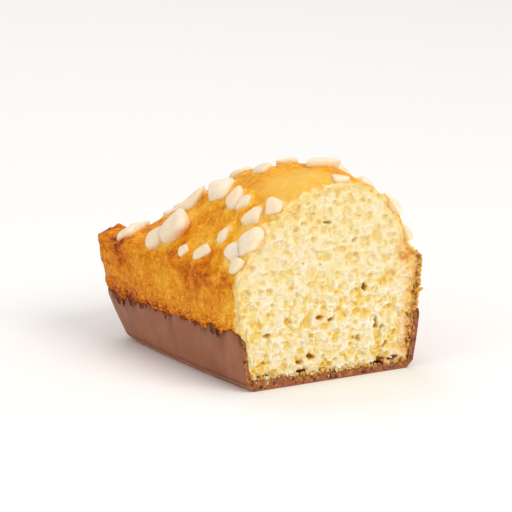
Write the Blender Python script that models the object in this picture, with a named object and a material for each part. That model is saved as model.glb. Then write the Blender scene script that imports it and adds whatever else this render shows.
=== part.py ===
"""Half of a small loaf-shaped genoise sponge cake, cut straight across its middle.

The cut face looks towards -Y and the moulded end towards +Y. The sponge is one solid with its pearl sugar
fused on, and it stands in a thin coat of chocolate that covers its foot and the lower part of its sides.
Sizes are in metres.
"""

import math

import bmesh
import bpy
import numpy as np

MM = 0.001

# The mould: its edge at the rim and at the foot, and how its walls curve between them
RIM_WIDTH = 40.0 * MM
RIM_END_WIDTH = 37.4 * MM
RIM_LENGTH = 53.0 * MM
RIM_CORNER = 4.5 * MM
RIM_HEIGHT = 21.0 * MM
RIM_END_HEIGHT = 19.6 * MM
FOOT_WIDTH = 35.2 * MM
FOOT_END_WIDTH = 29.4 * MM
FOOT_LENGTH = 48.4 * MM
FOOT_CORNER = 5.5 * MM
END_BOW = 0.8 * MM
WALL_CURVE = 2.0
LIP = 0.3 * MM
RIM_ROUND = 1.4 * MM

# The dome above the rim
DOME_HEIGHT = 16.8 * MM
CREST_X = 1.2 * MM
LEFT_FULLNESS = 2.2
LEFT_SINK = 0.75
RIGHT_FULLNESS = 3.4
RIGHT_LEDGE = 0.88
LEDGE_SHARE = 0.1
LEDGE_SHARPNESS = 16
END_FULLNESS = 3.2
END_SINK = 2.25
CUT_DROOP = 0.107
CUT_DROOP_REACH = 9.0 * MM
CREST_HEIGHT = RIM_HEIGHT + DOME_HEIGHT * (1.0 - CUT_DROOP)

# The chocolate coat
COAT_THICKNESS = 1.1 * MM
COAT_FLOOR = 1.4 * MM
COAT_HEIGHT = 10.6 * MM
COAT_END_HEIGHT = 9.2 * MM
COAT_PROUD = 0.15 * MM
COAT_RAGGED = 0.7 * MM
FOOT_INSET = 1.0 * MM
FOOT_STEP = 1.3 * MM
GAP = 0.3 * MM

# Relief of the baked skin and of the cut crumb
SKIN_RELIEF = 0.28 * MM
SKIN_WAVELENGTH = 9.0 * MM
CRUMB_RELIEF = 0.45 * MM
CRUMB_WAVELENGTH = 3.6 * MM
WAVES = 7

# Pearl sugar
NIB_PATCHES = (
    # from x, to x, from y, to y, nibs, largest, smallest, seed
    (-19.5 * MM, -6.0 * MM, 26.0 * MM, 36.0 * MM, 4, 6.4 * MM, 3.0 * MM, 314659),
    (-19.5 * MM, -6.0 * MM, 9.0 * MM, 26.0 * MM, 6, 4.2 * MM, 2.4 * MM, 221196),
    (-19.5 * MM, -8.0 * MM, 2.0 * MM, 9.0 * MM, 5, 4.4 * MM, 3.0 * MM, 21240),
    (-19.5 * MM, -6.0 * MM, 36.0 * MM, 53.0 * MM, 3, 4.4 * MM, 2.8 * MM, 63433),
    (-6.0 * MM, 8.0 * MM, 2.0 * MM, 20.0 * MM, 4, 4.4 * MM, 3.0 * MM, 163169),
    (12.5 * MM, 18.0 * MM, 0.0 * MM, 2.4 * MM, 2, 3.8 * MM, 3.2 * MM, 161586),
    (8.0 * MM, 19.5 * MM, 3.5 * MM, 20.0 * MM, 5, 5.0 * MM, 2.6 * MM, 45457),
    (-6.0 * MM, 19.5 * MM, 20.0 * MM, 53.0 * MM, 11, 5.2 * MM, 2.6 * MM, 22986),
)
NIB_SIZE_FALL = 0.45
NIB_SPACING = 0.8
NIB_TRIES = 60
NIB_EDGE_SHARE = 0.4
NIB_CUT_SHARE = 0.2
NIB_SLICE = 0.1 * MM
NIB_END_SHARE = 0.75
NIB_END_MARGIN = 1.5 * MM
NIB_CORNERS = 7
NIB_LIFT = 0.07
BARE_X = -3.0 * MM
BARE_HALF_WIDTH = 7.0 * MM
BARE_REACH = 12.0 * MM

# Mesh density
COLUMNS = 56
CUT_COLUMNS = 20
COAT_ROWS = 4
WALL_ROWS = 5
DOME_ROWS = 11
OUTER_SHARE = 0.975
INNER_SHARE = 0.14


def waves(seed, wavelength, *axes):
    """Smooth seeded undulation from -1 to 1: plane waves of like length in random directions, added up."""
    draw = np.random.default_rng(seed)
    total = np.zeros_like(axes[0])
    for _ in range(WAVES):
        direction = draw.normal(size=len(axes))
        direction /= np.linalg.norm(direction)
        length = wavelength * draw.uniform(0.7, 1.5)
        phase = draw.uniform(0.0, math.tau)
        along = sum(axis * part for axis, part in zip(axes, direction))
        total += np.sin(math.tau * along / length + phase)
    return total / math.sqrt(WAVES * 2.0)


def mould_edge(width, end_width, length, corner):
    """Points of the half mould's U-shaped edge, from the cut's left end round the far end to its right end.

    The corners are arcs that get twice their share of the points, the sides bulge towards the cut and the
    end is slightly bowed.
    """
    turn = np.linspace(0.0, math.pi / 2.0, 33)
    arc_x = end_width / 2.0 - corner + corner * np.cos(turn)
    arc_y = length - corner + corner * np.sin(turn)
    x = np.concatenate([[-end_width / 2.0], -arc_x, arc_x[::-1], [end_width / 2.0]])
    y = np.concatenate([[0.0], arc_y, arc_y[::-1], [0.0]])
    steps = np.hypot(np.diff(x), np.diff(y))
    steps[steps < corner * 0.1] *= 2.0
    reach = np.concatenate([[0.0], np.cumsum(steps)])
    even = np.linspace(0.0, reach[-1], COLUMNS + 1)
    x = np.interp(even, reach, x)
    y = np.interp(even, reach, y)
    bulge = 1.0 + (width / end_width - 1.0) * (1.0 - (y / length) ** 2)
    bow = END_BOW * (1.0 - (2.0 * x / end_width) ** 2) * (y / length) ** 4
    return x * bulge, y + bow


def rim_height(y):
    """Height of the rim, which falls a little from the cut to the moulded end."""
    return RIM_HEIGHT - (RIM_HEIGHT - RIM_END_HEIGHT) * (y / RIM_LENGTH) ** 2


def wall(z, inset):
    """The wall's edge at height z, moved in by inset: steep at the rim and rounding in towards the foot."""
    rim_x, rim_y = mould_edge(RIM_WIDTH, RIM_END_WIDTH, RIM_LENGTH, RIM_CORNER)
    foot_x, foot_y = mould_edge(FOOT_WIDTH, FOOT_END_WIDTH, FOOT_LENGTH, FOOT_CORNER)
    down = np.clip(1.0 - z / rim_height(rim_y), 0.0, 1.0) ** WALL_CURVE
    x = rim_x + (foot_x - rim_x) * down
    y = rim_y + (foot_y - rim_y) * down
    along_x, along_y = np.gradient(x), np.gradient(y)
    size = np.hypot(along_x, along_y)
    x = x + along_y / size * inset
    y = y - along_x / size * inset
    y[[0, -1]] = 0.0
    return x, y


def half_width(y):
    """Half of the rim's width at y."""
    return (RIM_WIDTH - (RIM_WIDTH - RIM_END_WIDTH) * (y / RIM_LENGTH) ** 2) / 2.0


def dome(x, y):
    """Height of the top above the rim: fuller on the right, where a narrow ledge runs inside the rim.

    Towards the moulded end the dome sinks to a low flat margin, and it does so sooner on the left.
    """
    half = half_width(y)
    crest = CREST_X * (1.0 - y / RIM_LENGTH)
    side = np.clip(np.where(x < crest, (crest - x) / (half + crest), (x - crest) / (half - crest)), 0.0, 1.0)
    left = (1.0 - side**LEFT_FULLNESS) ** (1.0 + LEFT_SINK * y / RIM_LENGTH)
    right = (1.0 - LEDGE_SHARE) * (1.0 - np.minimum(side / RIGHT_LEDGE, 1.0) ** RIGHT_FULLNESS)
    right = right + LEDGE_SHARE * (1.0 - side**LEDGE_SHARPNESS)
    end = (1.0 - np.clip(y / (RIM_LENGTH + END_BOW), 0.0, 1.0) ** END_FULLNESS) ** END_SINK
    droop = 1.0 - CUT_DROOP * np.exp(-((y / CUT_DROOP_REACH) ** 2))
    return DOME_HEIGHT * np.where(x < crest, left, right) * end * droop


def top_height(x, y):
    """Height of the baked top over the point (x, y), with an undulation that fades out towards the cut."""
    fade = 1.0 - np.exp(-((y / CRUMB_WAVELENGTH) ** 2))
    return rim_height(y) + dome(x, y) + SKIN_RELIEF * waves(3, SKIN_WAVELENGTH, x, y) * fade


def coat_height(x, y):
    """Height of the chocolate's ragged upper edge."""
    level = COAT_HEIGHT - (COAT_HEIGHT - COAT_END_HEIGHT) * (y / RIM_LENGTH)
    return level + COAT_RAGGED * waves(11, 7.0 * MM, x, y)


def sponge_ring(x, y, z):
    """A closed ring of the sponge: its skin's points, then those back across the cut, with crags behind y = 0.

    The crags fade out towards the crest, where the crumb is thin.
    """
    across = np.linspace(0.0, 1.0, CUT_COLUMNS + 1)[1:-1]
    cut_x = x[-1] + (x[0] - x[-1]) * across
    cut_z = z[-1] + (z[0] - z[-1]) * across
    crag = 0.5 + 0.5 * waves(5, CRUMB_WAVELENGTH, cut_x, cut_z)
    depth = np.clip((CREST_HEIGHT - cut_z) / CRUMB_WAVELENGTH, 0.0, 1.0)
    cut_y = CRUMB_RELIEF * np.clip(crag, 0.0, 1.0) * depth
    return np.column_stack([np.append(x, cut_x), np.append(y, cut_y), np.append(z, cut_z)])


def sponge_rings():
    """Rings of the sponge from its foot up: inside the coat, out over the coat's edge, up the wall and in."""
    edge_x, edge_y = wall(COAT_HEIGHT, 0.0)
    coat = coat_height(edge_x, edge_y)
    rim = rim_height(edge_y)
    inside = COAT_THICKNESS - COAT_PROUD + GAP
    floor = COAT_FLOOR + GAP
    rings = []
    for share in np.linspace(0.0, 1.0, COAT_ROWS + 1):
        z = floor + (coat + GAP - floor) * share
        chamfer = FOOT_INSET if share == 0.0 else 0.0
        rings.append((*wall(z, inside + chamfer), z))
    for share in np.linspace(0.0, 1.0, WALL_ROWS + 1):
        z = coat + 2.0 * GAP + (rim - RIM_ROUND - coat - 2.0 * GAP) * share
        x, y = wall(z, -LIP * share**3)
        bump = SKIN_RELIEF * 0.5 * waves(9, SKIN_WAVELENGTH, x, y, z)
        rings.append((*wall(z, bump - LIP * share**3), z))
    shoulder_x, shoulder_y = wall(rim, 0.1 * RIM_ROUND - LIP)
    rings.append((shoulder_x, shoulder_y, rim - 0.4 * RIM_ROUND))
    rim_x, rim_y = wall(rim, 0.0)
    for share in np.linspace(OUTER_SHARE, INNER_SHARE, DOME_ROWS):
        x = CREST_X + (rim_x - CREST_X) * share
        y = rim_y * share
        rings.append((x, y, top_height(x, y)))
    return [sponge_ring(*ring) for ring in rings]


def add_ring(bm, points):
    """Adds points (n x 3) as loose vertices and returns them."""
    return [bm.verts.new(point) for point in points]


def join_rings(bm, lower, upper, closed):
    """Quads between two rings of vertices, also from the last to the first where they are closed."""
    count = len(lower)
    for i in range(count if closed else count - 1):
        j = (i + 1) % count
        bm.faces.new((lower[i], lower[j], upper[j], upper[i]))


def object_from(bm, name, material):
    """Makes the closed bmesh an object of triangles with outward faces and the material."""
    bmesh.ops.recalc_face_normals(bm, faces=bm.faces)
    bmesh.ops.triangulate(bm, faces=bm.faces)
    mesh = bpy.data.meshes.new(name)
    bm.to_mesh(mesh)
    bm.free()
    mesh.materials.append(material)
    obj = bpy.data.objects.new(name, mesh)
    bpy.context.scene.collection.objects.link(obj)
    return obj


def plain_material(name, colour, roughness):
    """A Principled material of one colour."""
    material = bpy.data.materials.new(name)
    material.use_nodes = True
    shader = material.node_tree.nodes["Principled BSDF"]
    shader.inputs["Base Color"].default_value = (*colour, 1.0)
    shader.inputs["Roughness"].default_value = roughness
    return material


def make_sponge():
    """The sponge without its sugar, a loft of rings from the foot to the crest over the cut."""
    bm = bmesh.new()
    rings = [add_ring(bm, points) for points in sponge_rings()]
    for lower, upper in zip(rings, rings[1:]):
        join_rings(bm, lower, upper, closed=True)
    bm.faces.new(rings[0])
    crest_z = top_height(np.array([CREST_X]), np.array([0.0]))[0]
    crest = bm.verts.new((CREST_X, 0.0, crest_z))
    last = rings[-1]
    for i, vertex in enumerate(last):
        bm.faces.new((vertex, last[(i + 1) % len(last)], crest))
    return object_from(bm, "sponge", plain_material("golden_sponge", (0.80, 0.45, 0.12), 0.6))


def in_bare_patch(x, y):
    """Whether (x, y) is in the pale stretch of the dome over the cut, which has no sugar."""
    return ((x - BARE_X) / BARE_HALF_WIDTH) ** 2 + (y / BARE_REACH) ** 2 < 1.0


def is_clear(x, y, size, placed):
    """Whether a nib at (x, y) keeps its distance from the nibs already placed."""
    return all(math.hypot(x - a, y - b) >= NIB_SPACING * (size + other) / 2.0 for a, b, other in placed)


def nib_places():
    """(x, y, size) of every nib: patches of the top, each filled at random from its largest nib down."""
    placed = []
    for low_x, high_x, low_y, high_y, count, largest, smallest, seed in NIB_PATCHES:
        draw = np.random.default_rng(seed)
        for index in range(count):
            size = largest - (largest - smallest) * (index / (count - 1)) ** NIB_SIZE_FALL
            nearest = max(low_y, NIB_CUT_SHARE * size + GAP)
            farthest = min(high_y, RIM_LENGTH - NIB_END_SHARE * size - NIB_END_MARGIN)
            for _ in range(NIB_TRIES):
                y = draw.uniform(nearest, farthest)
                reach = half_width(y) - NIB_EDGE_SHARE * size
                x = draw.uniform(max(low_x, -reach), min(high_x, reach))
                if is_clear(x, y, size, placed) and not in_bare_patch(x, y):
                    placed.append((x, y, size))
                    break
    return placed


def nib_facets(draw):
    """A nib's facet planes, as unit normals and distances: six of a rough block, and some that cut its corners."""
    block = np.vstack([np.eye(3), -np.eye(3)]) + draw.normal(scale=0.2, size=(6, 3))
    normals = np.vstack([block, draw.normal(size=(NIB_CORNERS, 3))])
    normals /= np.linalg.norm(normals, axis=1)[:, None]
    distances = np.append(draw.uniform(0.85, 1.0, 6), draw.uniform(0.95, 1.12, NIB_CORNERS))
    return normals, distances


def top_frame(x, y):
    """The point of the top over (x, y), with unit vectors across, along and out of the surface there."""
    step = 0.3 * MM
    here = top_height(np.array([x, x + step, x]), np.array([y, y, y + step]))
    up = np.array([here[0] - here[1], here[0] - here[2], step])
    up /= np.linalg.norm(up)
    across = np.cross((0.0, 1.0, 0.0), up)
    across /= np.linalg.norm(across)
    return np.array([x, y, here[0]]), across, np.cross(up, across), up


def slice_off(bm, y):
    """Cuts away what lies in front of y and closes the cut."""
    nib = list(bm.verts) + list(bm.edges) + list(bm.faces)
    forwards = (0.0, -1.0, 0.0)
    cut = bmesh.ops.bisect_plane(bm, geom=nib, plane_co=(0.0, y, 0.0), plane_no=forwards, clear_outer=True)
    edges = [item for item in cut["geom_cut"] if isinstance(item, bmesh.types.BMEdge)]
    bmesh.ops.contextual_create(bm, geom=edges)


def make_nib(index, x, y, size):
    """A sugar nib: a coarse ball cut to seeded facets, flattened, turned and half sunk in the top.

    A nib that reaches the cut is sliced off just behind it.
    """
    draw = np.random.default_rng(100 + index)
    normals, distances = nib_facets(draw)
    stretch = draw.uniform((1.0, 0.78, 0.42), (1.15, 0.98, 0.56)) * size / 2.0
    turn = draw.uniform(0.0, math.tau)
    bm = bmesh.new()
    bmesh.ops.create_uvsphere(bm, u_segments=6, v_segments=4, radius=1.0)
    directions = np.array([vertex.co for vertex in bm.verts])
    facing = np.maximum(directions @ normals.T, 0.01)
    shape = directions * (distances / facing).min(axis=1)[:, None] * stretch
    origin, across, along, up = top_frame(x, y)
    first = across * math.cos(turn) + along * math.sin(turn)
    corners = origin + up * NIB_LIFT * size + shape @ np.array([first, np.cross(up, first), up])
    for vertex, corner in zip(bm.verts, corners):
        vertex.co = corner
    if corners[:, 1].min() < NIB_SLICE:
        slice_off(bm, NIB_SLICE)
    return object_from(bm, f"nib_{index}", bpy.data.materials["pearl_sugar"])


def fuse(base, pieces):
    """Joins the pieces to the base with one Boolean union and removes them."""
    group = bpy.data.collections.new("toppings")
    bpy.context.scene.collection.children.link(group)
    for piece in pieces:
        bpy.context.scene.collection.objects.unlink(piece)
        group.objects.link(piece)
    union = base.modifiers.new("Toppings", "BOOLEAN")
    union.operation = "UNION"
    union.operand_type = "COLLECTION"
    union.collection = group
    union.solver = "EXACT"
    bpy.context.view_layer.update()
    fused = bpy.data.meshes.new_from_object(base.evaluated_get(bpy.context.evaluated_depsgraph_get()))
    base.modifiers.clear()
    base.data = fused
    for piece in pieces:
        bpy.data.objects.remove(piece)
    bpy.data.collections.remove(group)


def make_coat():
    """The chocolate: an open tray with thin walls, a ragged upper edge and a flat underside."""
    edge_x, edge_y = wall(COAT_HEIGHT, 0.0)
    top = coat_height(edge_x, edge_y)
    rows = [(np.zeros_like(top), FOOT_INSET - COAT_PROUD)]
    for share in np.linspace(0.0, 1.0, COAT_ROWS + 1):
        rows.append((FOOT_STEP + (top - FOOT_STEP) * share, -COAT_PROUD))
    for share in np.linspace(1.0, 0.0, COAT_ROWS + 1):
        chamfer = FOOT_INSET if share == 0.0 else 0.0
        rows.append((COAT_FLOOR + (top - COAT_FLOOR) * share, COAT_THICKNESS - COAT_PROUD + chamfer))
    bm = bmesh.new()
    rings = []
    for z, inset in rows:
        x, y = wall(z, inset)
        rings.append(add_ring(bm, np.column_stack([x, y, z])))
    for lower, upper in zip(rings, rings[1:]):
        join_rings(bm, lower, upper, closed=False)
    bm.faces.new(rings[0])
    bm.faces.new(rings[-1])
    left = [ring[0] for ring in rings]
    right = [ring[-1] for ring in rings]
    bm.faces.new(left + right[::-1])
    return object_from(bm, "chocolate_base", plain_material("milk_chocolate", (0.27, 0.12, 0.08), 0.4))


def stand_on_origin(objects):
    """Moves the meshes so that the middle of the underside of their common box is the origin."""
    corners = np.array([vertex.co for obj in objects for vertex in obj.data.vertices])
    low, high = corners.min(axis=0), corners.max(axis=0)
    shift = np.array([-(low[0] + high[0]) / 2.0, -(low[1] + high[1]) / 2.0, -low[2]])
    for obj in objects:
        for vertex in obj.data.vertices:
            vertex.co = np.array(vertex.co) + shift
        obj.data.update()


def main():
    for obj in list(bpy.data.objects):
        bpy.data.objects.remove(obj)
    plain_material("pearl_sugar", (0.90, 0.86, 0.78), 0.5)
    sponge = make_sponge()
    fuse(sponge, [make_nib(index, *place) for index, place in enumerate(nib_places())])
    stand_on_origin([sponge, make_coat()])


main()
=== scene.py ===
"""Half of a small loaf-shaped genoise sponge cake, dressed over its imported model.

The cut face looks towards -Y and the moulded end towards +Y. A baked crust, the open crumb of the cut and
pearl sugar stand for the plain sponge, a poured coat stands for the plain chocolate, and loose crumbs lie
along the lower edges of the cut. All shapes repeat the drawing of the part, finer, in metres.
"""

import itertools
import logging
import math
from dataclasses import dataclass, field
from enum import Enum
from functools import cached_property, reduce
from typing import ClassVar

import bpy
import numpy as np
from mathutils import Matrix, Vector


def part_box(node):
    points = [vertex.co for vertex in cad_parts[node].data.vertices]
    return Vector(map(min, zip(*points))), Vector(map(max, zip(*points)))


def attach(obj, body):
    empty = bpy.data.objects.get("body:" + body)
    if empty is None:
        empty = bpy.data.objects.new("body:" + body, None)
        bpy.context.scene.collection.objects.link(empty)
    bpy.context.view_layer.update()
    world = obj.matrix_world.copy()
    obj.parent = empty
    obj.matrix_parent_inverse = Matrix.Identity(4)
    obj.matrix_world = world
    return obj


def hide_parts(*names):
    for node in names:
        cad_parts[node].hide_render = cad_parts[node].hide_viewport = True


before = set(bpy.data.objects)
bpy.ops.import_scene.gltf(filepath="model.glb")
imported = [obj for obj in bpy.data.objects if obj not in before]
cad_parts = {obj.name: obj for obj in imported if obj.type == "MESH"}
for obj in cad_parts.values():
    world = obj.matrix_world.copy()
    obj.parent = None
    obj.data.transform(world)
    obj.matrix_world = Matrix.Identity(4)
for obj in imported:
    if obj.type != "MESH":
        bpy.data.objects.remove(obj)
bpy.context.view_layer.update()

Array = np.ndarray
Number = float | Array
Colour = tuple[float, float, float]
Stops = tuple[tuple[float, Colour], ...]

MM = 0.001
CUT_MIDDLE = 16.0 * MM

log = logging.getLogger("genoise_half")


class Node(Enum):
    """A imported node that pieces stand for."""

    SPONGE = "sponge"
    CHOCOLATE = "chocolate_base"


class Slot(Enum):
    """A material slot of the record."""

    CRUST = "sponge_crust"
    CRUMB = "sponge_crumb"
    SUGAR = "pearl_sugar"
    CHOCOLATE = "milk_chocolate"


def ease(value: Number, low: Number, high: Number) -> Number:
    """Eases from 0 at low to 1 at high, whichever is the greater: 3t^2 - 2t^3 of the clamped share t."""
    share = np.clip((value - low) / (high - low), 0.0, 1.0)
    return share * share * (3.0 - 2.0 * share)


def bell(value: Array, width: float) -> Array:
    """A bell curve, exp(-(value / width)^2)."""
    return np.exp(-((value / width) ** 2))


def decay(distance: Array, reach: Number) -> Array:
    """Falls from 1 where the distance is 0 or less: exp(-distance / reach)."""
    return np.exp(-np.maximum(distance, 0.0) / reach)


def running(steps: Array) -> Array:
    """The way covered before the first step and after each one."""
    return np.concatenate([[0.0], np.cumsum(steps)])


def unit(vectors: Array) -> Array:
    """The vectors, along the last axis, at length 1."""
    return vectors / np.maximum(np.linalg.norm(vectors, axis=-1, keepdims=True), 1e-12)


def waves(seed: int, wavelength: float, *axes: Array) -> Array:
    """Smooth undulation from about -1 to 1: seven plane waves of like length in random directions, added up.

    Args:
        seed: of the directions, lengths and phases.
        wavelength: the middle of the waves' lengths.
        axes: the points' coordinates, one array for each axis.

    Returns:
        The undulation at the points.
    """
    draw = np.random.default_rng(seed)
    total = np.zeros_like(axes[0])
    count = 7
    for _ in range(count):
        direction = unit(draw.normal(size=len(axes)))
        length = wavelength * draw.uniform(0.7, 1.5)
        phase = draw.uniform(0.0, math.tau)
        along = sum(axis * part for axis, part in zip(axes, direction))
        total = total + np.sin(math.tau * along / length + phase)
    return total / math.sqrt(count * 2.0)


@dataclass(frozen=True)
class Lattice:
    """Smooth random values: one at each corner of a repeating cubic lattice, blended between the corners."""

    seed: int
    size: int = 48
    shift: float = 17.31
    spread: float = 1.6

    @cached_property
    def table(self) -> Array:
        """The values at the lattice's corners, from -1 to 1."""
        return np.random.default_rng(self.seed).uniform(-1.0, 1.0, (self.size,) * 3)

    def value(self, points: Array) -> Array:
        """The blended value at points given in lattice steps: eight corners weighed by eased shares.

        Args:
            points: positions, (..., 3).

        Returns:
            Values from -1 to 1, (...).
        """
        base = np.floor(points).astype(int)
        part = points - base
        blend = part * part * (3.0 - 2.0 * part)
        total = np.zeros(points.shape[:-1])
        for corner in itertools.product((0, 1), repeat=3):
            place = (base + np.array(corner)) % self.size
            weight = np.where(np.array(corner) == 1, blend, 1.0 - blend).prod(axis=-1)
            total += weight * self.table[place[..., 0], place[..., 1], place[..., 2]]
        return total

    def fractal(self, points: Array, wavelength: float, octaves: int = 4, gain: float = 0.5) -> Array:
        """Layers of value(), each at half the wavelength and gain times the height of the one before.

        Args:
            points: positions in metres, (..., 3).
            wavelength: of the first layer, in metres.
            octaves: how many layers.
            gain: the height of a layer in that of the one before.

        Returns:
            Values from about -1 to 1, (...).
        """
        total = np.zeros(points.shape[:-1])
        for octave in range(octaves):
            scale = 2.0**octave / wavelength
            total += gain**octave * self.value(points * scale + self.shift * (octave + 1))
        return self.spread * total / sum(gain**octave for octave in range(octaves))


@dataclass(frozen=True)
class Grains:
    """Rounded grains round scattered points, one in each cell of a repeating cubic net."""

    seed: int
    size: int = 32
    squared_reach: float = 0.8

    @cached_property
    def places(self) -> Array:
        """Where the point of each cell lies in it, as three shares."""
        return np.random.default_rng(self.seed).uniform(0.1, 0.9, (self.size,) * 3 + (3,))

    def height(self, points: Array, spacing: float) -> Array:
        """Height of the grains: 1 at a grain's middle, less by the square of the distance from it.

        Args:
            points: positions in metres, (n, 3).
            spacing: side of a cell.

        Returns:
            Heights from 0 to 1, (n,).
        """
        at = points / spacing
        base = np.floor(at).astype(int)
        nearest = np.full(points.shape[:-1], np.inf)
        for step in itertools.product((-1, 0, 1), repeat=3):
            cell = base + np.array(step)
            wrapped = cell % self.size
            middle = cell + self.places[wrapped[..., 0], wrapped[..., 1], wrapped[..., 2]]
            nearest = np.minimum(nearest, ((at - middle) ** 2).sum(axis=-1))
        return np.clip(1.0 - nearest / self.squared_reach, 0.0, 1.0)


def flat_points(x: Array, z: Array) -> Array:
    """Points of the cut plane, (..., 3), for a Lattice."""
    return np.stack([x, np.zeros_like(x), z], axis=-1)


def bowl(off_x: Array, off_z: Array, half_width: Number, half_height: Number, turn: Number) -> Array:
    """Depth of a turned half ellipsoid that is 1 deep: sqrt(1 - along^2 - across^2), in its half axes.

    Args:
        off_x: from its middle to the points, along the cut.
        off_z: from its middle to the points, up the cut.
        half_width: the half axis that the turn starts from.
        half_height: the other half axis.
        turn: from the cut's x to the first half axis, in radians.

    Returns:
        Depths from 0 to 1.
    """
    along = (off_x * np.cos(turn) + off_z * np.sin(turn)) / half_width
    across = (off_z * np.cos(turn) - off_x * np.sin(turn)) / half_height
    return np.sqrt(np.clip(1.0 - along**2 - across**2, 0.0, 1.0))


@dataclass(frozen=True)
class PoreLayer:
    """Bubbles of one size in the crumb: one in a share of the cells of a square net, shifted and turned."""

    spacing: float
    share: float
    smallest: float
    largest: float
    depth: float
    seed: int
    net: int = 96

    @cached_property
    def draws(self) -> Array:
        """Seven random shares for each cell of the repeating net."""
        return np.random.default_rng(self.seed).uniform(size=(self.net, self.net, 7))

    def depth_at(self, x: Array, z: Array) -> Array:
        """Depth of the deepest bubble over each point, of those in the three by three cells round it.

        Args:
            x: along the cut.
            z: up the cut.

        Returns:
            Depths in metres.
        """
        cell_x = np.floor(x / self.spacing).astype(int)
        cell_z = np.floor(z / self.spacing).astype(int)
        deepest = np.zeros_like(x)
        for step_x, step_z in itertools.product((-1, 0, 1), repeat=2):
            draw = self.draws[(cell_x + step_x) % self.net, (cell_z + step_z) % self.net]
            shift_x, shift_z, growth, roundness, turn, deepening, lot = np.moveaxis(draw, -1, 0)
            off_x = x / self.spacing - (cell_x + step_x + 0.1 + 0.8 * shift_x)
            off_z = z / self.spacing - (cell_z + step_z + 0.1 + 0.8 * shift_z)
            radius = self.smallest + (self.largest - self.smallest) * growth**2
            squash = 0.65 + 0.35 * roundness
            depth = bowl(off_x, off_z, radius, radius * squash, math.pi * turn) * radius
            deepest = np.maximum(deepest, depth * (0.6 + 0.8 * deepening) * (lot < self.share))
        return deepest * self.depth * self.spacing


def net_quads(numbers: Array) -> Array:
    """Quads between neighbouring rows and columns of a net of vertex numbers, as an array (n, 4)."""
    below, above = numbers[:-1], numbers[1:]
    return np.stack([below[:, :-1], below[:, 1:], above[:, 1:], above[:, :-1]], axis=-1).reshape(-1, 4)


def ring_quads(numbers: Array) -> Array:
    """As net_quads(), with each row closed from its last vertex to its first."""
    return net_quads(np.concatenate([numbers, numbers[:, :1]], axis=1))


def fan(ring: Array, centre: int) -> Array:
    """Triangles from each step of a closed ring of vertex numbers to the centre vertex."""
    return np.stack([ring, np.roll(ring, -1), np.full_like(ring, centre)], axis=-1)


def corner_fan(chain: Array, first: int, then: int) -> Array:
    """Triangles of the polygon that runs from a first vertex along a chain of them and on to one more."""
    rim = np.append(chain, then)
    return np.stack([np.full(len(chain), first), rim[:-1], rim[1:]], axis=-1)


def numbered(grid: Array, start: int = 0) -> Array:
    """Vertex numbers of a grid of points, row by row from a start, (rows, columns)."""
    rows, columns = grid.shape[:2]
    return start + np.arange(rows * columns).reshape(rows, columns)


def ball(angle: Array, turn: Array) -> tuple[Array, Array, Array]:
    """Directions and faces of a ball made of rings and two poles.

    Args:
        angle: of each ring from the upper pole, (rings, 1).
        turn: of each point about the poles, (1 or rings, points).

    Returns:
        Unit directions (n, 3), quads and triangles.
    """
    rings = [np.sin(angle) * np.cos(turn), np.sin(angle) * np.sin(turn), np.cos(angle) + 0.0 * turn]
    rows = np.stack(rings, axis=-1)
    directions = np.concatenate([rows.reshape(-1, 3), [[0.0, 0.0, 1.0], [0.0, 0.0, -1.0]]])
    numbers = numbered(rows)
    caps = [fan(numbers[0][::-1], numbers.size), fan(numbers[-1], numbers.size + 1)]
    return directions, ring_quads(numbers), np.concatenate(caps)


@dataclass
class Surface:
    """A closed surface being put together: points, faces and one value of each attribute for each point."""

    points: Array
    quads: Array
    triangles: Array = field(default_factory=lambda: np.zeros((0, 3), int))
    values: dict[str, Array] = field(default_factory=dict)

    def normals(self) -> Array:
        """Unit normals: at each point, the summed cross products of the diagonals of the quads round it."""
        corners = self.points[self.quads]
        areas = np.cross(corners[:, 2] - corners[:, 0], corners[:, 3] - corners[:, 1])
        total = np.zeros_like(self.points)
        for corner in range(4):
            np.add.at(total, self.quads[:, corner], areas)
        return unit(total)

    def volume(self) -> float:
        """Signed volume: a sixth of the sum of a.(b x c) over the triangles, each quad split in two."""
        split = np.concatenate([self.triangles, self.quads[:, [0, 1, 2]], self.quads[:, [0, 2, 3]]])
        a, b, c = (self.points[split[:, i]] for i in range(3))
        return float(np.einsum("ij,ij->i", a, np.cross(b, c)).sum() / 6.0)

    def turned_outwards(self) -> "Surface":
        """The surface with its faces turned round if its volume comes out negative."""
        if self.volume() < 0.0:
            self.quads = self.quads[:, ::-1]
            self.triangles = self.triangles[:, ::-1]
        return self

    def joined(self, other: "Surface") -> "Surface":
        """Both surfaces as one, with the same attributes."""
        shift = len(self.points)
        return Surface(
            np.concatenate([self.points, other.points]),
            np.concatenate([self.quads, other.quads + shift]),
            np.concatenate([self.triangles, other.triangles + shift]),
            {name: np.concatenate([self.values[name], other.values[name]]) for name in self.values},
        )


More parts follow.
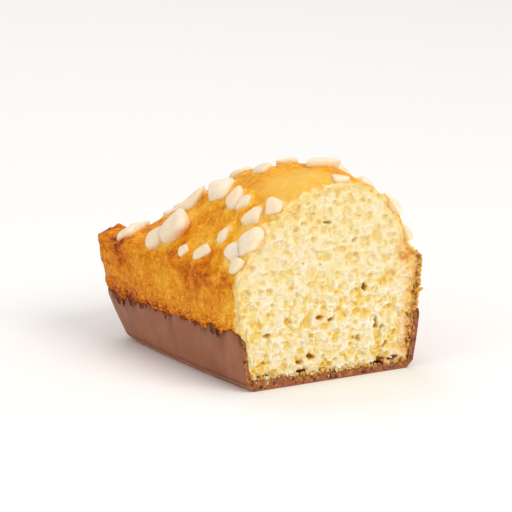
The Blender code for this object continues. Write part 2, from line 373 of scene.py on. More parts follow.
class Piece:
    """A piece of the dressed cake: its name and slot, the node that it stands for, and its shape."""

    name: ClassVar[str]
    slot: ClassVar[Slot]
    node: ClassVar[Node] = Node.SPONGE

    def surface(self) -> Surface:
        """The closed surface, in the drawing's coordinates."""
        raise NotImplementedError

    @staticmethod
    def drawing_origin() -> Array:
        """The middle of the cut's foot in the row frame, which is where the drawing has its origin."""
        low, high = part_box(Node.CHOCOLATE.value)
        return np.array([(low.x + high.x) / 2.0, low.y, low.z])

    def build(self, material: bpy.types.Material) -> bpy.types.Object:
        """Makes the surface an object that rides on the root body and stands for its node.

        Args:
            material: the piece's finish.

        Returns:
            The object.
        """
        surface = self.surface().turned_outwards()
        mesh = bpy.data.meshes.new(self.name)
        points = surface.points + self.drawing_origin()
        corners = np.concatenate([surface.quads.ravel(), surface.triangles.ravel()])
        sizes = np.repeat([4, 3], [len(surface.quads), len(surface.triangles)])
        mesh.vertices.add(len(points))
        mesh.vertices.foreach_set("co", points.astype(np.float32).ravel())
        mesh.loops.add(len(corners))
        mesh.loops.foreach_set("vertex_index", corners.astype(np.int32))
        mesh.polygons.add(len(sizes))
        mesh.polygons.foreach_set("loop_start", (np.cumsum(sizes) - sizes).astype(np.int32))
        mesh.polygons.foreach_set("use_smooth", np.ones(len(sizes), bool))
        mesh.update(calc_edges=True)
        for key, values in surface.values.items():
            attribute = mesh.attributes.new(key, "FLOAT", "POINT")
            attribute.data.foreach_set("value", values.astype(np.float32))
        mesh.materials.append(material)
        piece = bpy.data.objects.new(self.name, mesh)
        bpy.context.scene.collection.objects.link(piece)
        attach(piece, "root")
        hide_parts(self.node.value)
        triangles = 2 * len(surface.quads) + len(surface.triangles)
        log.info("%s: %d triangles, %.2f cm3", self.name, triangles, surface.volume() * 1e6)
        return piece


@dataclass(frozen=True)
class Mould:
    """The mould that the cake was baked in: its edge at rim and foot, its walls, and the rim's swell."""

    rim_width: float = 40.0 * MM
    rim_end_width: float = 37.4 * MM
    rim_length: float = 53.0 * MM
    rim_corner: float = 4.5 * MM
    rim_level: float = 21.0 * MM
    rim_end_level: float = 19.6 * MM
    foot_width: float = 35.2 * MM
    foot_end_width: float = 29.4 * MM
    foot_length: float = 48.4 * MM
    foot_corner: float = 5.5 * MM
    end_bow: float = 0.8 * MM
    wall_curve: float = 2.0
    rim_round: float = 1.4 * MM
    rim_swell: float = 0.3 * MM
    columns: int = 520
    cut_crowding: float = 0.3
    arc_points: int = 33
    arc_crowding: float = 2.0

    def edge(self, width: float, end_width: float, length: float, corner: float) -> tuple[Array, Array]:
        """The U-shaped edge from the cut's left end round the far end to its right end.

        Arcs join the straight sides and the end. The columns crowd at the cut and on the arcs. The sides
        bulge by 1 - (y / length)^2 towards the cut, and the end bows by (1 - (2x / width)^2)(y / length)^4.

        Args:
            width: across, at the cut.
            end_width: across, at the far end.
            length: from the cut to the far end.
            corner: radius of the two far corners.

        Returns:
            x and y of the columns.
        """
        turn = np.linspace(0.0, math.pi / 2.0, self.arc_points)
        arc_x = end_width / 2.0 - corner + corner * np.cos(turn)
        arc_y = length - corner + corner * np.sin(turn)
        x = np.concatenate([[-end_width / 2.0], -arc_x, arc_x[::-1], [end_width / 2.0]])
        y = np.concatenate([[0.0], arc_y, arc_y[::-1], [0.0]])
        steps = np.hypot(np.diff(x), np.diff(y))
        steps[steps < corner * 0.1] *= self.arc_crowding
        reach = running(steps)
        share = np.linspace(0.0, 1.0, self.columns + 1)
        share = share - self.cut_crowding * np.sin(math.tau * share) / math.tau
        x = np.interp(share * reach[-1], reach, x)
        y = np.interp(share * reach[-1], reach, y)
        bulge = 1.0 + (width / end_width - 1.0) * (1.0 - (y / length) ** 2)
        bow = self.end_bow * (1.0 - (2.0 * x / end_width) ** 2) * (y / length) ** 4
        return x * bulge, y + bow

    @cached_property
    def rim_edge(self) -> tuple[Array, Array]:
        """The edge at the rim."""
        return self.edge(self.rim_width, self.rim_end_width, self.rim_length, self.rim_corner)

    @cached_property
    def foot_edge(self) -> tuple[Array, Array]:
        """The edge at the foot."""
        return self.edge(self.foot_width, self.foot_end_width, self.foot_length, self.foot_corner)

    def rim_height(self, y: Array) -> Array:
        """Height of the rim, which falls by (y / length)^2 to the moulded end."""
        return self.rim_level - (self.rim_level - self.rim_end_level) * (y / self.rim_length) ** 2

    def half_width(self, y: Array) -> Array:
        """Half of the rim's width at y."""
        return (self.rim_width - (self.rim_width - self.rim_end_width) * (y / self.rim_length) ** 2) / 2.0

    def wall(self, z: Number, inset: Number) -> Array:
        """Points of the wall, which is steep at the rim and rounds in to the foot.

        A point lies between the rim's edge and the foot's by (1 - z / rim height)^curve, then moves along the
        inward normal of its row. The two end columns stay in the cut plane.

        Args:
            z: heights, (..., columns) or a shape that spreads to it.
            inset: how far inwards, of the same kind.

        Returns:
            Points, (..., columns, 3).
        """
        rim_x, rim_y = self.rim_edge
        foot_x, foot_y = self.foot_edge
        z, inset, _ = np.broadcast_arrays(z, inset, rim_x)
        down = np.clip(1.0 - z / self.rim_height(rim_y), 0.0, 1.0) ** self.wall_curve
        x = rim_x + (foot_x - rim_x) * down
        y = rim_y + (foot_y - rim_y) * down
        along_x, along_y = np.gradient(x, axis=-1), np.gradient(y, axis=-1)
        size = np.hypot(along_x, along_y)
        x = x + along_y / size * inset
        y = y - along_x / size * inset
        y[..., [0, -1]] = 0.0
        return np.stack([x, y, z], axis=-1)


@dataclass(frozen=True)
class Dome:
    """The risen top above the rim: fuller on the right, where a narrow ledge runs inside the rim."""

    mould: Mould
    height: float = 16.8 * MM
    crest_x: float = 1.2 * MM
    left_fullness: float = 2.2
    left_sink: float = 0.75
    right_fullness: float = 3.4
    ledge: float = 0.88
    ledge_share: float = 0.1
    ledge_sharpness: float = 16.0
    end_fullness: float = 3.2
    end_sink: float = 2.25
    cut_droop: float = 0.107
    droop_reach: float = 9.0 * MM
    relief: float = 0.28 * MM
    wavelength: float = 9.0 * MM
    fade: float = 3.6 * MM

    def rise(self, x: Array, y: Array) -> Array:
        """Height above the rim: 1 - side^fullness on each side of the crest, times a fall to the far end.

        The dome sinks to a low flat margin towards the end, and does so sooner on the left.

        Args:
            x: across the cake.
            y: along it, from the cut.

        Returns:
            Heights above the rim.
        """
        half = self.mould.half_width(y)
        crest = self.crest_x * (1.0 - y / self.mould.rim_length)
        side = np.where(x < crest, (crest - x) / (half + crest), (x - crest) / (half - crest))
        side = np.clip(side, 0.0, 1.0)
        left = (1.0 - side**self.left_fullness) ** (1.0 + self.left_sink * y / self.mould.rim_length)
        right = (1.0 - self.ledge_share) * (1.0 - np.minimum(side / self.ledge, 1.0) ** self.right_fullness)
        right = right + self.ledge_share * (1.0 - side**self.ledge_sharpness)
        reach = np.clip(y / (self.mould.rim_length + self.mould.end_bow), 0.0, 1.0)
        end = (1.0 - reach**self.end_fullness) ** self.end_sink
        droop = 1.0 - self.cut_droop * bell(y, self.droop_reach)
        return self.height * np.where(x < crest, left, right) * end * droop

    def top(self, x: Array, y: Array) -> Array:
        """Height of the top over (x, y), with an undulation that fades out towards the cut."""
        undulation = self.relief * waves(3, self.wavelength, x, y) * (1.0 - bell(y, self.fade))
        return self.mould.rim_height(y) + self.rise(x, y) + undulation

    def frame_at(self, x: float, y: float) -> tuple[Array, Array]:
        """The point of the top over (x, y), and unit vectors across, along and out of it as rows.

        The slope comes from the heights a small step to the right and a small step along.

        Args:
            x: across the cake.
            y: along it.

        Returns:
            The point, and the three vectors, (3, 3).
        """
        step = 0.3 * MM
        here = self.top(np.array([x, x + step, x]), np.array([y, y, y + step]))
        up = unit(np.array([here[0] - here[1], here[0] - here[2], step]))
        across = unit(np.cross((0.0, 1.0, 0.0), up))
        return np.array([x, y, here[0]]), np.array([across, np.cross(up, across), up])


@dataclass(frozen=True)
class CoatLine:
    """The level that the chocolate reaches on the wall."""

    mould: Mould
    level: float = 10.6 * MM
    end_level: float = 9.2 * MM
    ragged: float = 0.7 * MM
    wavelength: float = 7.0 * MM

    def height(self, x: Array, y: Array) -> Array:
        """Height of the coat's wavy upper edge."""
        level = self.level - (self.level - self.end_level) * (y / self.mould.rim_length)
        return level + self.ragged * waves(11, self.wavelength, x, y)

    @cached_property
    def around(self) -> Array:
        """The height at each column of the mould."""
        edge = self.mould.wall(self.level, 0.0)
        return self.height(edge[:, 0], edge[:, 1])


@dataclass(frozen=True)
class NibPatch:
    """A patch of the top, filled at random with sugar from its largest nib down."""

    x: tuple[float, float]
    y: tuple[float, float]
    count: int
    largest: float
    smallest: float
    seed: int


@dataclass(frozen=True)
class Nib:
    """One nib of pearl sugar: its place on the top and its size."""

    x: float
    y: float
    size: float


@dataclass(frozen=True)
class SugarPlan:
    """Where the nibs lie: patches of the top, clear of each other and of the bare stretch over the cut."""

    mould: Mould
    patches: tuple[NibPatch, ...] = (
        NibPatch((-19.5 * MM, -6.0 * MM), (26.0 * MM, 36.0 * MM), 4, 6.4 * MM, 3.0 * MM, 314659),
        NibPatch((-19.5 * MM, -6.0 * MM), (9.0 * MM, 26.0 * MM), 6, 4.2 * MM, 2.4 * MM, 221196),
        NibPatch((-19.5 * MM, -8.0 * MM), (2.0 * MM, 9.0 * MM), 5, 4.4 * MM, 3.0 * MM, 21240),
        NibPatch((-19.5 * MM, -6.0 * MM), (36.0 * MM, 53.0 * MM), 3, 4.4 * MM, 2.8 * MM, 63433),
        NibPatch((-6.0 * MM, 8.0 * MM), (2.0 * MM, 20.0 * MM), 4, 4.4 * MM, 3.0 * MM, 163169),
        NibPatch((12.5 * MM, 18.0 * MM), (0.0, 2.4 * MM), 2, 3.8 * MM, 3.2 * MM, 161586),
        NibPatch((8.0 * MM, 19.5 * MM), (3.5 * MM, 20.0 * MM), 5, 5.0 * MM, 2.6 * MM, 45457),
        NibPatch((-6.0 * MM, 19.5 * MM), (20.0 * MM, 53.0 * MM), 11, 5.2 * MM, 2.6 * MM, 22986),
    )
    size_fall: float = 0.45
    spacing: float = 0.8
    tries: int = 60
    edge_share: float = 0.4
    cut_share: float = 0.2
    cut_gap: float = 0.3 * MM
    slice: float = 0.1 * MM
    end_share: float = 0.75
    end_margin: float = 1.5 * MM
    bare_x: float = -3.0 * MM
    bare_half_width: float = 7.0 * MM
    bare_reach: float = 12.0 * MM
    footprint: float = 0.42

    def bareness(self, x: Array, y: Array) -> Array:
        """Below 1 inside the bare stretch: its ellipse round (bare_x, 0)."""
        return ((x - self.bare_x) / self.bare_half_width) ** 2 + (y / self.bare_reach) ** 2

    def is_free(self, x: float, y: float, size: float, placed: list[Nib]) -> bool:
        """Whether a nib at (x, y) is out of the bare stretch and keeps its distance from the placed ones."""
        return self.bareness(x, y) >= 1.0 and all(
            math.hypot(x - nib.x, y - nib.y) >= self.spacing * (size + nib.size) / 2.0 for nib in placed
        )

    @cached_property
    def nibs(self) -> list[Nib]:
        """Every nib, in the order of the patches."""
        placed: list[Nib] = []
        for patch in self.patches:
            draw = np.random.default_rng(patch.seed)
            for index in range(patch.count):
                fall = (index / (patch.count - 1)) ** self.size_fall
                size = patch.largest - (patch.largest - patch.smallest) * fall
                nearest = max(patch.y[0], self.cut_share * size + self.cut_gap)
                farthest = min(patch.y[1], self.mould.rim_length - self.end_share * size - self.end_margin)
                for _ in range(self.tries):
                    y = draw.uniform(nearest, farthest)
                    reach = self.mould.half_width(y) - self.edge_share * size
                    x = draw.uniform(max(patch.x[0], -reach), min(patch.x[1], reach))
                    if self.is_free(x, y, size, placed):
                        placed.append(Nib(x, y, size))
                        break
        return placed

    def nearness(self, x: Array, y: Array, reach: float) -> Array:
        """How near the closest nib is: 1 under a nib, falling by a bell curve over reach outside it.

        Args:
            x: across the cake.
            y: along it.
            reach: how far from a nib's rim the fall goes, in metres.

        Returns:
            Nearness from 0 to 1.
        """
        nearest = np.zeros_like(x)
        for nib in self.nibs:
            outside = np.maximum(np.hypot(x - nib.x, y - nib.y) - self.footprint * nib.size, 0.0)
            nearest = np.maximum(nearest, bell(outside, reach))
        return nearest


def smooth_rows(rows: Array, spacing: float) -> Array:
    """Resamples a surface given by rows: Catmull-Rom curves through the rows, column by column.

    The new rows are evenly spaced along the mean of the columns.

    Args:
        rows: points, (rows, columns, 3).
        spacing: the new distance between rows.

    Returns:
        Points, (new rows, columns, 3).
    """
    steps = np.linalg.norm(np.diff(rows, axis=0), axis=-1).mean(axis=1)
    reach = running(steps)
    at = np.linspace(0.0, reach[-1], math.ceil(reach[-1] / spacing) + 1)
    index = np.clip(np.searchsorted(reach, at, side="right") - 1, 0, len(reach) - 2)
    t = ((at - reach[index]) / (reach[index + 1] - reach[index]))[:, None, None]
    a, b = rows[np.maximum(index - 1, 0)], rows[index]
    c, d = rows[index + 1], rows[np.minimum(index + 2, len(rows) - 1)]
    return 0.5 * (2 * b + (c - a) * t + (2 * a - 5 * b + 4 * c - d) * t**2 + (3 * b - a - 3 * c + d) * t**3)


def grid_normals(grid: Array) -> Array:
    """Unit normals of a grid of points: the cross product of its steps along columns and rows."""
    return unit(np.cross(np.gradient(grid, axis=1), np.gradient(grid, axis=0)))


def moved_in(line: Array, distance: Number) -> Array:
    """A line of the cut plane moved to its left-hand side.

    Args:
        line: points (n, 3) with y = 0.
        distance: how far each point moves.

    Returns:
        The moved points.
    """
    along = unit(np.gradient(line, axis=0))
    side = np.stack([-along[:, 2], np.zeros(len(line)), along[:, 0]], axis=-1)
    return line + side * np.broadcast_to(distance, len(line))[:, None]


def fillet(distance: Array, radius: float) -> Array:
    """How far a rounded edge lies under the corner that it replaces: r - sqrt(r^2 - (r - distance)^2)."""
    inside = np.clip(radius - distance, 0.0, radius)
    return radius - np.sqrt(radius**2 - inside**2)


@dataclass(frozen=True)
class BakedCrust(Piece):
    """The browned outside of the sponge, closed behind the crumb of the cut.

    A strip of rows runs from inside the coat up the wall and in over the rim. Within it a net of four sides
    covers the dome: its sides and far end lie on the strip's last row, and its near side on the cut.
    """

    name: ClassVar[str] = "sponge_crust"
    slot: ClassVar[Slot] = Slot.CRUST
    mould: Mould
    dome: Dome
    coat: CoatLine
    sugar: SugarPlan
    foot: float = 1.9 * MM
    tuck: float = 0.5 * MM
    wall_relief: float = 0.14 * MM
    spacing: float = 0.27 * MM
    wall_rows: int = 9
    coat_gap: float = 0.3 * MM
    insets: tuple[float, ...] = (0.5 * MM, 1.1 * MM, 1.8 * MM)
    rind: float = 0.3 * MM
    back: float = 3.4 * MM
    edge_radius: float = 0.7 * MM
    tucked: float = 0.1 * MM
    grain: float = 0.16 * MM
    grain_spacing: float = 0.95 * MM
    lumps: float = 0.14 * MM
    rim_crumble: float = 0.75 * MM
    horn: tuple[float, float, float] = (-13.2 * MM, 51.8 * MM, 0.9 * MM)
    horn_height: float = 1.1 * MM
    batter_rise: float = 0.42 * MM
    pore_depth: float = 0.6 * MM
    pore_spacing: float = 1.5 * MM
    most_in: float = 0.35 * MM
    most_out: float = 0.6 * MM
    more_inland: float = 1.5 * MM
    rough: Lattice = Lattice(21)
    grains: Grains = Grains(22)
    pores: Grains = Grains(23)

    def strip(self) -> Array:
        """Smooth rows of the wall and the rim, as in the drawing.

        The wall's rows stand at heights between the coat and the rim, swelling out by rim_swell * share^3. A
        shoulder follows, and rows of the dome at insets from the rim.

        Returns:
            Points, (rows, columns, 3).
        """
        coat, rim_round, swell = self.coat.around, self.mould.rim_round, self.mould.rim_swell
        rim = self.mould.rim_height(self.mould.rim_edge[1])
        rows = [
            self.mould.wall(self.foot, 2.4 * self.tuck),
            self.mould.wall(coat * 0.5, self.tuck),
            self.mould.wall(coat - 0.8 * MM, self.tuck * 0.8),
        ]
        for share in np.linspace(0.0, 1.0, self.wall_rows):
            z = coat + self.coat_gap + (rim - rim_round - coat - self.coat_gap) * share
            inset = -swell * share**3
            plain = self.mould.wall(z, inset)
            bump = self.wall_relief * waves(9, self.dome.wavelength, *np.moveaxis(plain, -1, 0))
            rows.append(self.mould.wall(z, inset + bump))
        shoulder = self.mould.wall(rim, 0.1 * rim_round - swell)
        shoulder[..., 2] = rim - 0.4 * rim_round
        rows.append(shoulder)
        for inset in self.insets:
            row = self.mould.wall(rim, inset)
            row[:, 2] = self.dome.top(row[:, 0], row[:, 1])
            rows.append(row)
        return smooth_rows(np.array(rows), self.spacing)

    def dome_net(self, rim: Array) -> Array:
        """Points of the dome within the strip's last row: a patch blended from its four sides in plan.

        A point is (1 - u) left + u right + (1 - v) near + v far, less the same blend of the four corners.
        Here u and v are the shares of the way across and along. The height is the dome's.

        Args:
            rim: the strip's last row, (columns, 3).

        Returns:
            Points, (rows from the cut to the far end, columns from left to right, 3).
        """
        corner = int(np.argmax(rim[:, 1] - rim[:, 0]))
        left, right = rim[: corner + 1], rim[::-1][: corner + 1]
        far = rim[corner : len(rim) - corner]
        u = np.linspace(0.0, 1.0, len(far))[None, :, None]
        near = left[0] + (right[0] - left[0]) * u[0]
        steps = np.linalg.norm(np.diff(left, axis=0), axis=-1)
        v = running(steps)[:, None, None] / steps.sum()
        net = (1 - u) * left[:, None] + u * right[:, None] + (1 - v) * near[None] + v * far[None]
        net = net - (1 - u) * ((1 - v) * left[0] + v * left[-1]) - u * ((1 - v) * right[0] + v * right[-1])
        net[..., 2] = self.dome.top(net[..., 0], net[..., 1])
        return net

    def skin(self) -> tuple[Surface, Array]:
        """The strip and the net as one open surface.

        Returns:
            The surface, and the vertex numbers of its edge at the cut, from the left foot to the right one.
        """
        strip = self.strip()
        net = self.dome_net(strip[-1])
        inside = net[:-1, 1:-1]
        numbers = numbered(strip)
        inner = numbered(inside, numbers.size)
        last, side = numbers[-1], len(net)
        body = np.concatenate([last[: side - 1, None], inner, last[::-1][: side - 1, None]], axis=1)
        whole = np.concatenate([body, last[None, side - 1 : len(last) - side + 1]])
        points = np.concatenate([strip.reshape(-1, 3), inside.reshape(-1, 3)])
        cut = np.concatenate([numbers[:, 0], inner[0], numbers[::-1, -1]])
        return Surface(points, np.concatenate([net_quads(numbers), net_quads(whole)[:, ::-1]])), cut

    def zones(self, skin: Array) -> dict[str, Array]:
        """What the browning and the relief follow, each from 0 to 1 at every point of the skin.

        Args:
            skin: points, (n, 3).

        Returns:
            rim, near the rim; top, above it; coat, just over the chocolate; pale, in the light stretch of
            the crest at the cut; end, towards the far end; nib, near a nib; cut, close to the cut; light, in
            a wider stretch there; pore, in a pore; and grain, on a grain.
        """
        x, y, z = skin.T
        above = z - self.mould.rim_height(y)
        over_coat = z - self.coat.height(x, y)
        wobble = self.rough.fractal(skin + 0.3, 5.0 * MM, 3)
        small = self.rough.fractal(skin + 0.35, 1.6 * MM, 3)
        top = ease(above, -1.0 * MM, 1.0 * MM)
        edge_in = np.minimum(self.mould.half_width(y) - np.abs(x), self.mould.rim_length - y)
        around = np.hypot(np.minimum(above, 0.0) * 0.62, np.maximum(edge_in, 0.0) * top * 1.15)
        open_side = np.maximum(ease(x, 12.0 * MM, 2.0 * MM), 0.5 + 0.12 * top)
        reach = 2.4 * MM + 2.4 * MM * top * ease(x, 6.0 * MM, -3.0 * MM)
        return {
            "rim": bell(around + 0.7 * MM * wobble + 0.3 * MM * small, 2.2 * MM),
            "top": top,
            "coat": decay(over_coat + 0.3 * MM * small, 1.8 * MM),
            "pale": ease(self.sugar.bareness(x, y) + 0.35 * wobble, 2.1, 0.45) * top,
            "end": ease(y + 2.0 * MM * wobble, 24.0 * MM, 54.0 * MM),
            "nib": self.sugar.nearness(x, y, 0.7 * MM) * top,
            "cut": ease(y + 1.3 * MM * small + 0.7 * MM * wobble, reach, 0.4 * MM) * open_side,
            "light": ease(y + 2.0 * MM * wobble + 1.0 * MM * small, 11.0 * MM, 0.0) * open_side,
            "pore": ease(self.pores.height(skin + 0.5 * MM * small[:, None], self.pore_spacing), 0.45, 0.95),
            "grain": self.grains.height(skin + 0.25 * MM * wobble[:, None], self.grain_spacing),
        }

    def relief(self, skin: Array, zones: dict[str, Array]) -> Array:
        """How far each point of the skin stands out.

        Grains and lumps lie all over it, the rim crumbles, batter climbs the nibs, a horn stands at the far
        left of the rim, and the edge of the cut is porous. Near the cut the sum keeps to narrow limits.

        Args:
            skin: points, (n, 3).
            zones: from zones().

        Returns:
            Distances along the outward normal, (n,).
        """
        calm = 1.0 - 0.8 * zones["pale"]
        grain = self.grain * calm * (zones["grain"] - 0.6)
        lumps = self.lumps * (0.4 + 0.6 * calm) * self.rough.fractal(skin + 0.1, 3.2 * MM, 2)
        low_end = 0.5 * zones["end"] * (1.0 - zones["top"])
        torn = np.maximum.reduce([zones["rim"], 0.6 * zones["coat"], low_end])
        crumble = self.rim_crumble * torn * self.rough.fractal(skin + 0.2, 2.6 * MM, 3, 0.6)
        torn_right = ease(skin[:, 0], 8.0 * MM, 16.0 * MM)
        porous = self.rough.fractal(skin + 0.45, 1.5 * MM, 3, 0.6) * (0.5 + 1.3 * torn_right) * MM
        porous = porous - self.pore_depth * zones["pore"]
        raised = self.batter_rise * zones["nib"]
        off_horn = np.hypot(skin[:, 0] - self.horn[0], skin[:, 1] - self.horn[1])
        raised = raised + self.horn_height * bell(off_horn, self.horn[2]) * zones["top"]
        out = grain + lumps + crumble - 0.15 * MM * torn + raised + porous * zones["cut"]
        free = self.more_inland * ease(skin[:, 1], 3.0 * MM, 5.5 * MM)
        return np.clip(out, -self.most_in - free, self.most_out + free)

    def surface(self) -> Surface:
        """The skin with its relief, ragged and rounded off at the cut, and closed behind the crumb.

        From the edge at the cut a rim of the rind's width turns in, and a plain line follows deep behind the
        crumb. Two fans close the front and the foot.

        Returns:
            The closed surface, with its zones as attributes.
        """
        smooth, cut = self.skin()
        skin = smooth.points
        zones = self.zones(skin)
        inside = np.array([0.0, 20.0 * MM, 15.0 * MM])
        normals = smooth.normals()
        normals = normals * np.sign((normals * (skin - inside)).sum())
        y = skin[:, 1]
        ragged = 0.5 + 0.5 * self.rough.fractal(skin + 0.4, 1.6 * MM, 3)
        moved = y + (0.05 + 0.5 * np.clip(ragged, 0.0, 1.0)) * MM * bell(y, 1.2 * MM)
        calm = 1.0 - 0.4 * bell(y, 0.4 * MM)
        out = self.relief(skin, zones) * calm - fillet(moved, self.edge_radius)
        out = out - self.tucked * bell(y, 0.9 * MM)
        shaped = skin + normals * out[:, None]
        shaped[:, 1] = np.maximum(shaped[:, 1] - y + moved, 0.0)
        plain = skin[cut] * np.array([1.0, 0.0, 1.0])
        turned = shaped[cut] + moved_in(plain, -self.rind) - plain
        behind = moved_in(plain, -4.0 * self.rind) + np.array([0.0, self.back, 0.0])
        centres = np.array([[0.0, self.back, CUT_MIDDLE], [0.0, self.mould.foot_length / 2.0, self.foot]])
        loops = np.stack([cut, cut, cut])
        loops[1:] = numbered(loops[1:], len(shaped))
        front = loops[-1, -1] + 1
        foot_row = np.arange(self.mould.columns, -1, -1)
        bottom = np.concatenate([foot_row, loops[1:, 0], [front], loops[:0:-1, -1]])
        return Surface(
            np.concatenate([shaped, turned, behind, centres]),
            np.concatenate([smooth.quads, net_quads(loops)]),
            np.concatenate([fan(loops[2], front)[:-1], fan(bottom, front + 1)]),
            {name: np.concatenate([zone, zone[cut], zone[cut], [0.0, 0.0]]) for name, zone in zones.items()},
        )


@dataclass(frozen=True)
class CutOutline:
    """The edge of the cut: the profile of wall and dome in its plane, and where the crumb ends inside it."""

    mould: Mould
    dome: Dome
    coat: CoatLine
    coat_wall: float = 1.0 * MM
    rind: float = 0.15 * MM
    ragged: float = 0.2 * MM
    wall_points: int = 60
    top_points: int = 160
    rough: Lattice = Lattice(42)

    def profile(self, side: int) -> Array:
        """Points of the outside in the cut plane, from the foot to the crest.

        Args:
            side: -1 for the left, 1 for the right.

        Returns:
            Points, (n, 3).
        """
        under_rim = self.mould.rim_level - self.mould.rim_round
        column = 0 if side < 0 else -1
        z = np.linspace(0.0, under_rim, self.wall_points)
        share = np.clip((z - self.coat.level) / (under_rim - self.coat.level), 0.0, 1.0)
        wall = self.mould.wall(z[:, None], -self.mould.rim_swell * share[:, None] ** 3)[:, column]
        out = np.linspace(0.99, 0.0, self.top_points) ** 0.8
        edge = side * self.mould.rim_width / 2.0
        x = self.dome.crest_x + (edge - self.dome.crest_x) * out
        top = np.stack([x, np.zeros_like(x), self.dome.top(x, np.zeros_like(x))], axis=-1)
        return np.concatenate([wall, top])

    def inner(self, side: int) -> Array:
        """The profile moved in to where the crumb ends: behind the rind, and further down behind the coat.

        Args:
            side: -1 for the left, 1 for the right.

        Returns:
            Points, (n, 3).
        """
        line = self.profile(side)
        level = self.coat.around[0 if side < 0 else -1]
        rind = self.rind + self.ragged * np.abs(self.rough.fractal(line, 1.4 * MM, 3, 0.7))
        inset = rind + (self.coat_wall - rind) * ease(line[:, 2], level + 0.6 * MM, level - 0.6 * MM)
        return moved_in(line, inset if side > 0 else -inset)

    def inner_x(self, side: int, z: Array) -> Array:
        """x of the inner line of a side at heights z."""
        line = self.inner(side)
        return np.interp(z, np.maximum.accumulate(line[:, 2]), line[:, 0])

    def distance(self, x: Array, z: Array) -> Array:
        """Distance from points of the cut, (rows, columns), to the nearest point of the profile."""
        line = np.concatenate([self.profile(-1), self.profile(1)])[::2]
        squares = [
            ((row_x[:, None] - line[:, 0]) ** 2 + (row_z[:, None] - line[:, 2]) ** 2).min(axis=1)
            for row_x, row_z in zip(x, z)
        ]
        return np.sqrt(np.stack(squares))


@dataclass(frozen=True)
class Hole:
    """A bubble larger than the rest: its place in the cut and its half axes and depth, in millimetres."""

    x: float
    z: float
    half_width: float
    half_height: float
    depth: float
    turn: float = 0.0

    def depth_at(self, x: Array, z: Array) -> Array:
        """Depth of the half ellipsoid at points of the cut, in metres."""
        off_x, off_z = x - self.x * MM, z - self.z * MM
        return self.depth * MM * bowl(off_x, off_z, self.half_width * MM, self.half_height * MM, self.turn)


